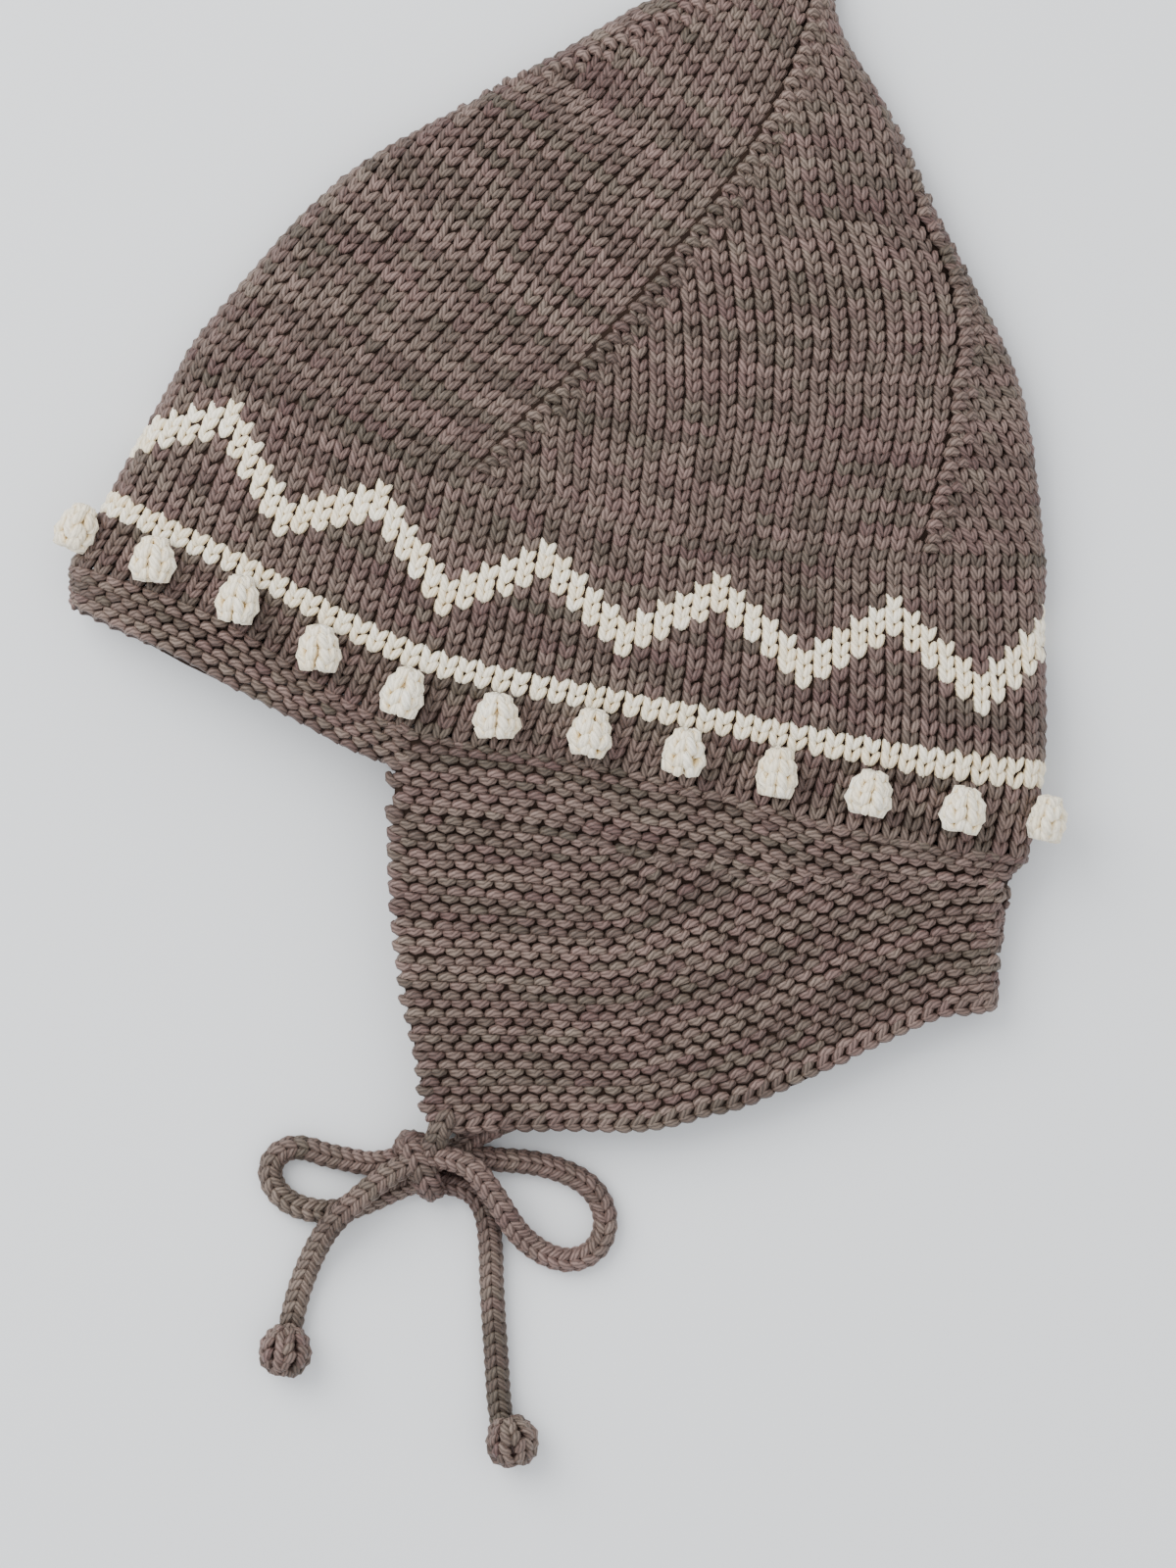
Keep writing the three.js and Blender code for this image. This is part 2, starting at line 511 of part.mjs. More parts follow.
// The main body only: what a cut leaves over on its far side is inside the knot.
function toGeometry(solid) {
  const [main] = solid.decompose().sort((a, b) => b.volume() - a.volume());
  const { vertProperties, triVerts } = main.getMesh();
  const geometry = new THREE.BufferGeometry();
  geometry.setAttribute('position', new THREE.Float32BufferAttribute(vertProperties, 3));
  geometry.setIndex(new THREE.Uint32BufferAttribute(triVerts, 1));
  return geometry;
}

// Tie: a round knitted cord along a route from the tie corner.
function cordGeometry(route, corner, diameter) {
  const curve = new THREE.CatmullRomCurve3(route.map(
    ([x, y, z]) => new THREE.Vector3(corner.x + x, corner.y + y, CORD_DIAMETER / 2 + z),
  ));
  const section = new THREE.Shape();
  for (let side = 0; side < CORD_SIDES; side += 1) {
    const angle = (2 * Math.PI * (side + 0.5)) / CORD_SIDES;
    const x = (diameter / 2) * Math.cos(angle);
    const y = (diameter / 2) * Math.sin(angle);
    if (side === 0) section.moveTo(x, y);
    else section.lineTo(x, y);
  }
  const steps = Math.max(Math.round(curve.getLength() / CORD_STEP), 3);
  return new THREE.ExtrudeGeometry(section, { steps, bevelEnabled: false, extrudePath: curve });
}

function makeTies(corner) {
  const knotGeometry = (grow) => {
    const geometry = roundGeometry(
      BALL_PROFILE, KNOT_WIDTH + grow, KNOT_LENGTH + grow, KNOT_HEIGHT + grow, BALL_SIDES,
    );
    geometry.rotateZ(-KNOT_TURN);
    geometry.translate(corner.x + KNOT_AT[0], corner.y + KNOT_AT[1], -grow / 2);
    return geometry;
  };
  const ballGeometry = ([x, y], grow) => {
    const size = END_BOBBLE_DIAMETER + grow;
    const geometry = roundGeometry(BALL_PROFILE, size, size, size, BALL_SIDES);
    geometry.translate(corner.x + x, corner.y + y, -grow / 2);
    return geometry;
  };
  const cord = (route) => toSolid(cordGeometry(route, corner, CORD_DIAMETER));
  const fatCord = (route) => toSolid(cordGeometry(route, corner, CORD_DIAMETER + 2 * GAP));
  const knotRoom = toSolid(knotGeometry(2 * GAP));
  const leftBallRoom = toSolid(ballGeometry(END_BOBBLE_LEFT_AT, 2 * GAP));
  const rightBallRoom = toSolid(ballGeometry(END_BOBBLE_RIGHT_AT, 2 * GAP));
  const rightLoopRoom = fatCord(LOOP_RIGHT);
  const leftTailRoom = fatCord(TAIL_LEFT);
  const farTieRoom = fatCord(TIE_FAR);
  const solids = {
    tie_near: cord(TIE_NEAR).subtract(knotRoom).subtract(rightLoopRoom).subtract(farTieRoom),
    tie_far: cord(TIE_FAR).subtract(knotRoom).subtract(rightLoopRoom),
    loop_left: cord(LOOP_LEFT).subtract(knotRoom).subtract(leftTailRoom),
    tail_left: cord(TAIL_LEFT).subtract(knotRoom).subtract(leftBallRoom),
    loop_right: cord(LOOP_RIGHT).subtract(knotRoom),
    tail_right: cord(TAIL_RIGHT).subtract(knotRoom).subtract(rightLoopRoom).subtract(rightBallRoom),
  };
  const meshes = Object.entries(solids).map(([name, solid]) => makeMesh(name, toGeometry(solid), taupeWool));
  meshes.push(makeMesh('bow_knot', knotGeometry(0), taupeWool));
  meshes.push(makeMesh('tie_bobble_left', ballGeometry(END_BOBBLE_LEFT_AT, 0), taupeWool));
  meshes.push(makeMesh('tie_bobble_right', ballGeometry(END_BOBBLE_RIGHT_AT, 0), taupeWool));
  return meshes;
}

const bonnet = new THREE.Group();
const body = new THREE.Group();
const { mesh: earFlap, corner } = makeEarFlap();
body.add(makeCrown(), makeBand(), earFlap, ...makeBobbles());

// The origin is under the middle of the bonnet without its ties.
const extent = new THREE.Box3().setFromObject(body, true);
const middle = extent.getCenter(new THREE.Vector3());
bonnet.add(body, ...makeTies(corner));
bonnet.position.set(-middle.x, -middle.y, -extent.min.z);

export default bonnet;
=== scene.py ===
# A hand-knitted baby bonnet with earflaps, folded flat front to back and lying on its side.
# Metres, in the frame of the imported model: +X from the face opening to the nape, +Y to the tip, +Z up.
import math

import bmesh
import bpy
import numpy as np
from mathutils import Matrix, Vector
from mathutils.bvhtree import BVHTree


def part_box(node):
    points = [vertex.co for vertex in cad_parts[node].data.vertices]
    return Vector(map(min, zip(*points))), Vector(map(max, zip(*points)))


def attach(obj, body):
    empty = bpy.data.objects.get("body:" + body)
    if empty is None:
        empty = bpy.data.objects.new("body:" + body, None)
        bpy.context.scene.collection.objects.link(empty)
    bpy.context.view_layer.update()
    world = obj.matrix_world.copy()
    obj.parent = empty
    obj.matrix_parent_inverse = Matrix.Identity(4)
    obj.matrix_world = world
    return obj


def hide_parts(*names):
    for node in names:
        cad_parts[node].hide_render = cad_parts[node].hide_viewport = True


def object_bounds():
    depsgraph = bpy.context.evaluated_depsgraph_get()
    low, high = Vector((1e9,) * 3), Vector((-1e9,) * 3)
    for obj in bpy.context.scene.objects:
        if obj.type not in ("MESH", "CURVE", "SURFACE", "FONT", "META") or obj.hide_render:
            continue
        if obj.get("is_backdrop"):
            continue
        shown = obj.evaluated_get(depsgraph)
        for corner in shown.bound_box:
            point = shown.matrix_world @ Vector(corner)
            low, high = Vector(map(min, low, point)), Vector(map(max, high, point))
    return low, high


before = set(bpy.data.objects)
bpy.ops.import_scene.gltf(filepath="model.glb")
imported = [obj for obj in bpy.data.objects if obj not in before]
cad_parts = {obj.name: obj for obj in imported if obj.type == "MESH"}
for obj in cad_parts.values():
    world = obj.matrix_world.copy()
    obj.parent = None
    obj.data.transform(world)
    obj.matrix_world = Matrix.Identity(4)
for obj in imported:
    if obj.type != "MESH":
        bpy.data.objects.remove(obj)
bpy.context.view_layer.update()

# Camera: straight above the bonnet, as in the photograph, with the tip of the crown past the upper edge.
# A long lens keeps the two layers of fabric from spreading with their height.
VIEW_CENTRE = (0.0058, -0.0550)
VIEW_TALL = 0.352
VIEW_PLANE = 0.010
LENS = 150
SENSOR = 36
camera_data = bpy.data.cameras.new("camera")
camera_data.lens = LENS
camera_data.sensor_fit = "AUTO"
camera_data.sensor_width = SENSOR
camera = bpy.data.objects.new("camera", camera_data)
camera.location = (*VIEW_CENTRE, VIEW_PLANE + VIEW_TALL * LENS / SENSOR)
bpy.context.scene.collection.objects.link(camera)
bpy.context.scene.camera = camera

# Ties: two knitted cords of three stitches round, from the corners of the earflaps into one bow. Each runs
# from its flap into the knot, out round a loop, back through the knot, and out as a tail with a ball on it.
# The routes are in millimetres from the tie corner of the near earflap, z over the cord's own radius.
MM = 0.001
TIE_CORNER = (-30.23, -132.68)
CORD_DIAMETER = 5.6
CORD_RADIUS = CORD_DIAMETER / 2
CORD_STITCHES = 3
CORD_ROW = 2.65
CORD_YARN = 1.08
YARN = 0.98
NEAR_SIDES = 6
FAR_SIDES = 5
NEAR_START = [(5.0, 4.2, 7.9), (3.6, 1.8, 8.2)]
FAR_START = [(18.5, 2.4, 2.6), (15.0, 0.6, 1.6), (11.5, -1.2, 0.6)]
TIE_NEAR = [(2.3, -0.8, 7.2), (2.2, -1.9, 7.0), (1.3, -3.2, 6.5), (0.1, -4.8, 5.7), (-1.2, -6.4, 4.8)]
TIE_FAR = [(8.6, -3.2, 0.1), (7.2, -4.4, 0.2), (5.0, -5.4, 0.6), (2.6, -6.4, 1.6)]
LOOP_LEFT = [
    (-3.1, -6.6, 1.2), (-8.4, -7.3, 0.5), (-13.2, -7.9, 0), (-18.3, -7, 0), (-23.3, -5.9, 0),
    (-27.5, -4.5, 0), (-31.5, -4.5, 0), (-34.6, -6.6, 0), (-35.7, -9.9, 0), (-34.4, -13.7, 0),
    (-31, -16.8, 0), (-26.8, -18.3, 0), (-22.4, -18.8, 0), (-17.8, -17.9, 0), (-13, -16.2, 0),
    (-8.6, -14.2, 0), (-3.6, -12.1, 0.4),
]
TAIL_LEFT = [
    (-3.7, -7.8, 5.9), (-7.3, -9.3, 6), (-10.4, -11.3, 6), (-13.5, -13.7, 6), (-16.5, -16.3, 6),
    (-19.6, -19.2, 5.6), (-22.5, -22.5, 4), (-24.9, -26.4, 2), (-26.9, -30.6, 0.5), (-28.6, -35, 0),
    (-29.9, -39.4, 0), (-30.8, -43.4, 0), (-31.4, -46.5, 0.4),
]
LOOP_RIGHT = [
    (1, -6, 5.9), (4.6, -6.4, 6), (7.3, -7.3, 6.1), (9.9, -8.6, 6.2), (12.1, -11, 6.2),
    (14.3, -13.9, 6.1), (16.5, -17.4, 5.4), (18.5, -20.7, 4), (20.9, -24, 2.2), (24, -26.8, 0.7),
    (27.5, -28.8, 0), (31.5, -29.7, 0), (35.4, -28.8, 0), (38.3, -26.4, 0), (39.8, -22.7, 0),
    (39.6, -18.5, 0), (37.6, -14.5, 0), (34.8, -11.9, 0), (31, -9.9, 0), (27.1, -8.6, 0),
    (23.1, -7.7, 0), (19.1, -7.3, 0), (15.2, -7, 0), (11.7, -6.6, 0), (8.1, -6.4, 0), (3.6, -6.4, 0.2),
]
TAIL_RIGHT = [
    (2.2, -12, 0.2), (6.4, -12.7, 0), (10, -14.4, 0), (12.2, -17.2, 0), (13.5, -21.2, 0),
    (14.1, -27.5, 0), (14.3, -34.8, 0), (14.7, -42.2, 0), (15.2, -49.5, 0), (15.6, -56.1, 0),
    (16, -61.8, 0.2), (16.7, -66.5, 0.5),
]
LEFT_IN_KNOT = [(-2.2, -12.0, 1.8), (-1.6, -10.2, 4.4)]
RIGHT_INTO_LOOP = [(-0.2, -8.2, 3.4), (-1.4, -7.2, 5.2)]
RIGHT_INTO_TAIL = [(0.2, -8.4, 0.6), (-0.6, -10.8, 0.4)]
KNOT_WRAP = [
    (-4.6, -3.0, 0.6), (-4.4, -3.2, 3.5), (-3.4, -4.6, 5.6), (-2.2, -6.8, 6.4), (-1.2, -9.2, 6.3),
    (-0.1, -11.6, 5.3), (0.8, -13.4, 3.0), (0.9, -13.6, 0.8),
]
KNOT_BEND = [(-5.8, -5.8, 1.2), (-5.5, -4.0, 3.2), (-4.1, -2.8, 4.6), (-2.3, -2.8, 4.4), (-1.0, -4.2, 2.6)]
WRAP_RADIUS = 2.9
WRAP_BROAD = 1.15
BEND_RADIUS = 2.5
BEND_YARN = 1.05
SPAN_STEPS = 16
rng = np.random.default_rng(7)


def carried_on(points):
    """The points, with one more past each end."""
    return np.vstack([2 * points[0] - points[1], points, 2 * points[-1] - points[-2]])


def catmull_rom(ends, k, t):
    """Places on the smooth line through points that were carried on, at t from 0 to 1 past point k."""
    p0, p1, p2, p3 = ends[k], ends[k + 1], ends[k + 2], ends[k + 3]
    return (
        p1 + (p2 - p0) / 2 * t + (p0 - 2.5 * p1 + 2 * p2 - p3 / 2) * t**2
        + (1.5 * (p1 - p2) + (p3 - p0) / 2) * t**3
    )


def run_of(line):
    """Length along a line up to each of its points."""
    return np.concatenate([[0], np.cumsum(np.linalg.norm(np.diff(line, axis=0), axis=1))])


def along_line(at, run, values):
    """Values, which are given at the lengths in run, at other lengths."""
    return np.stack([np.interp(at, run, values[:, k]) for k in range(values.shape[1])], axis=-1)


def smooth_path(points, step):
    """Even points along the smooth line through the given ones, and its length."""
    points = np.array(points, float)
    ends = carried_on(points)
    t = np.arange(SPAN_STEPS)[:, None] / SPAN_STEPS
    line = np.vstack([*(catmull_rom(ends, k, t) for k in range(len(points) - 1)), points[-1:]])
    run = run_of(line)
    at = np.linspace(0, run[-1], max(int(round(run[-1] / step)), 2) + 1)
    return along_line(at, run, line), run[-1]


def unit(vectors):
    """The vectors at length 1."""
    return vectors / np.maximum(np.linalg.norm(vectors, axis=-1, keepdims=True), 1e-9)


def yarn_strands(name, centres, outward, radius, sides, tones, breadth=1.0):
    """One mesh of many short strands of yarn. centres and outward are (strand, point, xyz) in millimetres.
    tones holds each strand's lightness and hue. No strand dips under the surface. The uv map holds the turn
    round the strand, from 0 to 1, and the millimetres along it."""
    strands, steps = centres.shape[:2]
    pressed = np.maximum(centres[..., 2], np.broadcast_to(radius, (strands, steps)))
    centres = np.concatenate([centres[..., :2], pressed[..., None]], axis=-1)
    along = unit(np.gradient(centres, axis=1))
    across = unit(np.cross(along, outward))
    up = np.cross(across, along)
    turn = 2 * np.pi * np.arange(sides) / sides
    radius = np.broadcast_to(radius, (strands, steps))[..., None, None]
    ring = across[:, :, None] * np.cos(turn)[:, None] * breadth + up[:, :, None] * np.sin(turn)[:, None]
    points = (centres[:, :, None] + radius * ring).reshape(-1, 3) * MM
    run = np.concatenate(
        [np.zeros((strands, 1)), np.cumsum(np.linalg.norm(np.diff(centres, axis=1), axis=2), axis=1)], axis=1
    )
    start = (np.arange(strands) * steps * sides)[:, None, None]
    step = (np.arange(steps - 1) * sides)[None, :, None]
    side = np.arange(sides)[None, None, :]
    after = (side + 1) % sides
    quads = np.stack(np.broadcast_arrays(
        start + step + side, start + step + after, start + step + sides + after, start + step + sides + side
    ), axis=-1).reshape(-1, 4)
    first = start[:, 0] + side[0, :, ::-1]
    last = start[:, 0] + (steps - 1) * sides + side[0]
    corners = np.concatenate([quads.ravel(), first.ravel(), last.ravel()])
    sizes = np.concatenate([np.full(len(quads), 4), np.full(2 * strands, sides)])
    mesh = bpy.data.meshes.new(name)
    mesh.vertices.add(len(points))
    mesh.vertices.foreach_set("co", points.ravel())
    mesh.loops.add(len(corners))
    mesh.loops.foreach_set("vertex_index", corners)
    mesh.polygons.add(len(sizes))
    mesh.polygons.foreach_set("loop_start", np.concatenate([[0], np.cumsum(sizes)[:-1]]))
    mesh.polygons.foreach_set("use_smooth", np.ones(len(sizes), bool))
    twist = mesh.uv_layers.new(name="twist")
    run_at = np.repeat(run.ravel(), sides)[corners]
    turn_at = np.tile(np.arange(sides) / sides, strands * steps)[corners]
    # The last side of a strand ends at a whole turn, and not back at none.
    wraps = np.zeros(len(corners), bool)
    wraps[:quads.size] = np.tile([False, True, True, False], len(quads)) & (turn_at[:quads.size] == 0)
    turn_at = np.where(wraps, 1.0, turn_at)
    twist.data.foreach_set("uv", np.stack([turn_at, run_at], axis=1).ravel())
    for attribute, values in zip(("tone", "hue"), tones):
        layer = mesh.attributes.new(attribute, "FLOAT", "POINT")
        layer.data.foreach_set("value", np.repeat(np.broadcast_to(values, strands), steps * sides))
    mesh.update(calc_edges=True)
    mesh.validate()
    piece = bpy.data.objects.new(name, mesh)
    bpy.context.scene.collection.objects.link(piece)
    return piece


def join(name, pieces):
    """Several meshes as one piece."""
    with bpy.context.temp_override(
        active_object=pieces[0], object=pieces[0], selected_objects=pieces, selected_editable_objects=pieces
    ):
        bpy.ops.object.join()
    pieces[0].name = name
    pieces[0].data.name = name
    return pieces[0]


TONE_SHARES = (0.5, 0.8, 0.7)
HUE_SHARES = (0.4, 0.8, 0.9)
DRIFT_REACH = 30
POOL_REACH = 6
DYE_CONTRAST = 0.24


def dyed(count, seed):
    """Lightness and hue, from 0 to 1, of each stitch along a hand-dyed yarn: long drifts, short pools and
    flecks."""
    random = np.random.default_rng(seed)
    values = []
    for drift, pool, fleck in (TONE_SHARES, HUE_SHARES):
        total = fleck * random.normal(0, 1, count)
        for share, reach in ((drift, DRIFT_REACH), (pool, POOL_REACH)):
            window = np.hanning(2 * reach + 1)
            wave = np.convolve(random.normal(0, 1, count + 2 * reach), window, "valid")
            total += share * wave / np.sqrt(np.sum(window**2))
        values.append(np.clip(0.5 + DYE_CONTRAST * total, 0, 1))
    return values


FIRST_ROW = 0.3
PAST_END = 0.8
CORE_INSET = 1.55
CORE_SIDES = 8
DARK_FROM = 0.6
DARK_FADE = 0.1
RIGHT_TAIL_DARKER = 0.3


def knitted_cord(name, route, radius, yarn, broad=1.0, darker=0.0):
    """Cord of stitches knitted in the round: a core, and two leaning legs for each stitch on it. Past the
    share DARK_FROM of its rows it is knitted from a stretch of yarn that is darker by the given amount."""
    path, length = smooth_path(route, CORD_ROW / 4)
    rows = int(round(length / CORD_ROW)) + 1
    run = np.linspace(0, length, len(path))
    along = unit(np.gradient(path, axis=0))
    across = unit(np.cross(along, [0, 0, 1.0]) + 1e-6)
    up = np.cross(across, along)

    def at(place, turn, height):
        out = along_line(place, run, across) * broad * np.sin(turn)[..., None]
        out = out + along_line(place, run, up) * np.cos(turn)[..., None]
        past = np.maximum(place - length, 0)[..., None] * along[-1]
        return along_line(place, run, path) + past + out * height[..., None], unit(out)

    leg_run = np.array([-0.36, -0.02, 0.32, 0.66, 1.0]) * CORD_ROW
    leg_side = np.array([0.02, 0.12, 0.26, 0.39, 0.49]) * 2 * np.pi / CORD_STITCHES
    leg_height = np.array([-0.85, -0.1, 0.15, 0.05, -0.75])
    leg_taper = np.array([0.6, 0.98, 1.06, 0.98, 0.6]) * yarn
    row = np.arange(rows) + FIRST_ROW
    legs = []
    for column in range(CORD_STITCHES):
        for hand in (-1, 1):
            turn = 2 * np.pi * column / CORD_STITCHES + hand * leg_side[None] + 0 * row[:, None]
            place = np.clip(row[:, None] * length / rows + leg_run[None], 0, length + PAST_END)
            legs.append(at(place, turn, radius - yarn + leg_height[None] + 0 * place))
    centres = np.concatenate([leg[0] for leg in legs])
    outward = np.concatenate([leg[1] for leg in legs])
    tone, hue = dyed(rows, rows)
    tone = tone - darker * np.clip((np.arange(rows) / rows - DARK_FROM) / DARK_FADE, 0, 1)
    dye = [np.tile(values, 2 * CORD_STITCHES) for values in (tone, hue)]
    piece = yarn_strands(name, centres, outward, leg_taper, NEAR_SIDES, dye)
    # The core, seen only in the gaps between the legs, takes the darkest tone of the yarn: painted shade
    # inside the cord.
    core_radius = radius - CORE_INSET * yarn
    core = yarn_strands(
        name + "_core", path[None], up[None], core_radius, CORE_SIDES, (0.0, 0.5), breadth=broad
    )
    return join(name, [piece, core]), path, length


def from_corner(route):
    """A route in the frame, in millimetres."""
    return [(TIE_CORNER[0] + x, TIE_CORNER[1] + y, CORD_RADIUS + z) for x, y, z in route]


left_route = from_corner(NEAR_START + TIE_NEAR + LOOP_LEFT + LEFT_IN_KNOT + TAIL_LEFT)
right_route = from_corner(FAR_START + TIE_FAR + RIGHT_INTO_LOOP + LOOP_RIGHT + RIGHT_INTO_TAIL + TAIL_RIGHT)
tie_left, left_path, left_length = knitted_cord("tie_left", left_route, CORD_RADIUS, CORD_YARN)
tie_right, right_path, right_length = knitted_cord(
    "tie_right", right_route, CORD_RADIUS, CORD_YARN, darker=RIGHT_TAIL_DARKER
)
knot_wrap, _, _ = knitted_cord("knot_wrap", from_corner(KNOT_WRAP), WRAP_RADIUS, CORD_YARN, broad=WRAP_BROAD)
knot_bend, _, _ = knitted_cord("knot_bend", from_corner(KNOT_BEND), BEND_RADIUS, BEND_YARN)
knot_wrap = join("knot_wrap", [knot_wrap, knot_bend])


def object_of(name, shape):
    """A smooth piece from a bmesh, which is used up."""
    mesh = bpy.data.meshes.new(name)
    shape.to_mesh(mesh)
    shape.free()
    for face in mesh.polygons:
        face.use_smooth = True
    piece = bpy.data.objects.new(name, mesh)
    bpy.context.scene.collection.objects.link(piece)
    return piece


BALL_START = -1.3
BALL_SPAN = 2.7
BALL_CORE_INSET = 0.7
BALL_CORE_END = 1.45
BALL_RINGS = 15
BALL_SIDES = 12
UNEVEN_COLUMN = 0.07
UNEVEN_RISE = 0.08
UNEVEN_HEIGHT = 0.12


def knitted_ball(name, centre, side, up, out, size, columns, rows, yarn, profile, seed):
    """Ball of knitting: columns of stitches run from its lower to its upper end. size is its full width,
    length and height along side, up and out. profile is its width at heights from -1 to 1, as a share of
    the whole."""
    random = np.random.default_rng(seed)
    axes = [np.array(axis, float) for axis in (side, up, out)]
    half = np.array(size) / 2 - yarn

    def surface(turn, rise, height):
        narrow = np.interp(np.sin(rise), *profile)
        local = [
            np.sin(turn) * narrow * (half[0] + height),
            np.sin(rise) * (half[1] + height),
            np.cos(turn) * narrow * (half[2] + height),
        ]
        return np.array(centre) + sum(part[..., None] * axis for part, axis in zip(local, axes))

    leg_run = np.array([-0.22, 0.0, 0.36, 0.74, 1.08])
    leg_side = np.array([0.08, 0.13, 0.24, 0.33, 0.38])
    leg_height = np.array([-1.0, -0.05, 0.3, 0.05, -1.0])
    leg_taper = np.array([0.75, 1.05, 1.08, 0.95, 0.55]) * yarn
    spots = []
    for column in range(columns):
        for row in range(rows):
            for hand in (-1, 1):
                wobble = random.normal(0, UNEVEN_COLUMN)
                turn = 2 * np.pi * (column + 0.5 * (columns % 2) + wobble + hand * leg_side) / columns
                share = np.clip((row + leg_run + random.normal(0, UNEVEN_RISE)) / rows, -0.05, 1.0)
                height = leg_height + random.normal(0, UNEVEN_HEIGHT)
                spots.append((turn, BALL_START + BALL_SPAN * share, height))
    turn, rise, height = (np.array([spot[k] for spot in spots]) for k in range(3))
    centres = surface(turn, rise, height)
    outward = unit(centres - np.array(centre))
    thin = np.clip(np.interp(np.sin(rise), *profile) ** 0.35, 0.7, 1)
    legs = yarn_strands(name, centres, outward, leg_taper * thin, NEAR_SIDES, dyed(len(centres), seed))
    core_rise = np.linspace(-BALL_CORE_END, BALL_CORE_END, BALL_RINGS)[:, None]
    spin = np.linspace(0, 2 * np.pi, BALL_SIDES + 1)[None, :-1]
    grid = surface(spin + 0 * core_rise, core_rise + 0 * spin, -BALL_CORE_INSET + 0 * spin)
    core = bmesh.new()
    rings = [[core.verts.new(Vector(point * MM)) for point in ring] for ring in grid]
    for low, high in zip(rings, rings[1:]):
        for k in range(BALL_SIDES):
            after = (k + 1) % BALL_SIDES
            core.faces.new((low[k], low[after], high[after], high[k]))
    core.faces.new(rings[0][::-1])
    core.faces.new(rings[-1])
    bmesh.ops.recalc_face_normals(core, faces=core.faces)
    return join(name, [legs, object_of(name + "_core", core)])


def box_centre(node):
    low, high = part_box(node)
    return (np.array(low) + np.array(high)) / 2 / MM


BALL_SIZE = (12.4, 12.4, 12.0)
BALL_COLUMNS = 6
BALL_ROWS = 6
BALL_YARN = 1.15
BALL_PROFILE = (
    [-1.0, -0.95, -0.8, -0.5, 0.0, 0.5, 0.8, 1.0], [0.25, 0.42, 0.68, 0.90, 1.0, 0.84, 0.62, 0.35]
)
balls = {}
for hand, path, seed in (("left", left_path, 11), ("right", right_path, 12)):
    onwards = unit(unit(path[-1] - path[-6]) * [1, 1, 0])
    sideways = np.cross([0, 0, 1.0], onwards)
    node = "tie_bobble_" + hand
    balls[hand] = knitted_ball(
        node + "_knit", box_centre(node), sideways, -onwards, (0, 0, 1), BALL_SIZE, BALL_COLUMNS, BALL_ROWS,
        BALL_YARN, BALL_PROFILE, seed,
    )


def linear(hex_colour):
    """sRGB hex as linear red, green and blue."""
    parts = [int(hex_colour[k:k + 2], 16) / 255 for k in (1, 3, 5)]
    return tuple(c / 12.92 if c <= 0.04045 else ((c + 0.055) / 1.055) ** 2.4 for c in parts)


def add(tree, kind, inputs=(), **settings):
    """A shader node with its settings, and its inputs as values or as links from other nodes' outputs."""
    node = tree.nodes.new("ShaderNode" + kind)
    for key, value in settings.items():
        setattr(node, key, value)
    for key, value in dict(inputs).items():
        if isinstance(value, bpy.types.NodeSocket):
            tree.links.new(value, node.inputs[key])
        else:
            node.inputs[key].default_value = value
    return node


# Merino yarn, hand dyed: plump and softly spun, matt with a slight halo of fibre. The dye is uneven, so the
# colour drifts from pinkish to greenish brown over a few stitches. Fine grooves wind round the strand
# between its plies, with painted shade in them, and its flanks, which nestle against other strands,
# carry painted shade.
PLY_TURN = 11.5
PLY_LINES = 7
FIBRE_SCALE = 1100.0
PATCH_SCALE = 130.0
FIBRE_BEND = 0.08
FIBRE_HEIGHT = 0.35


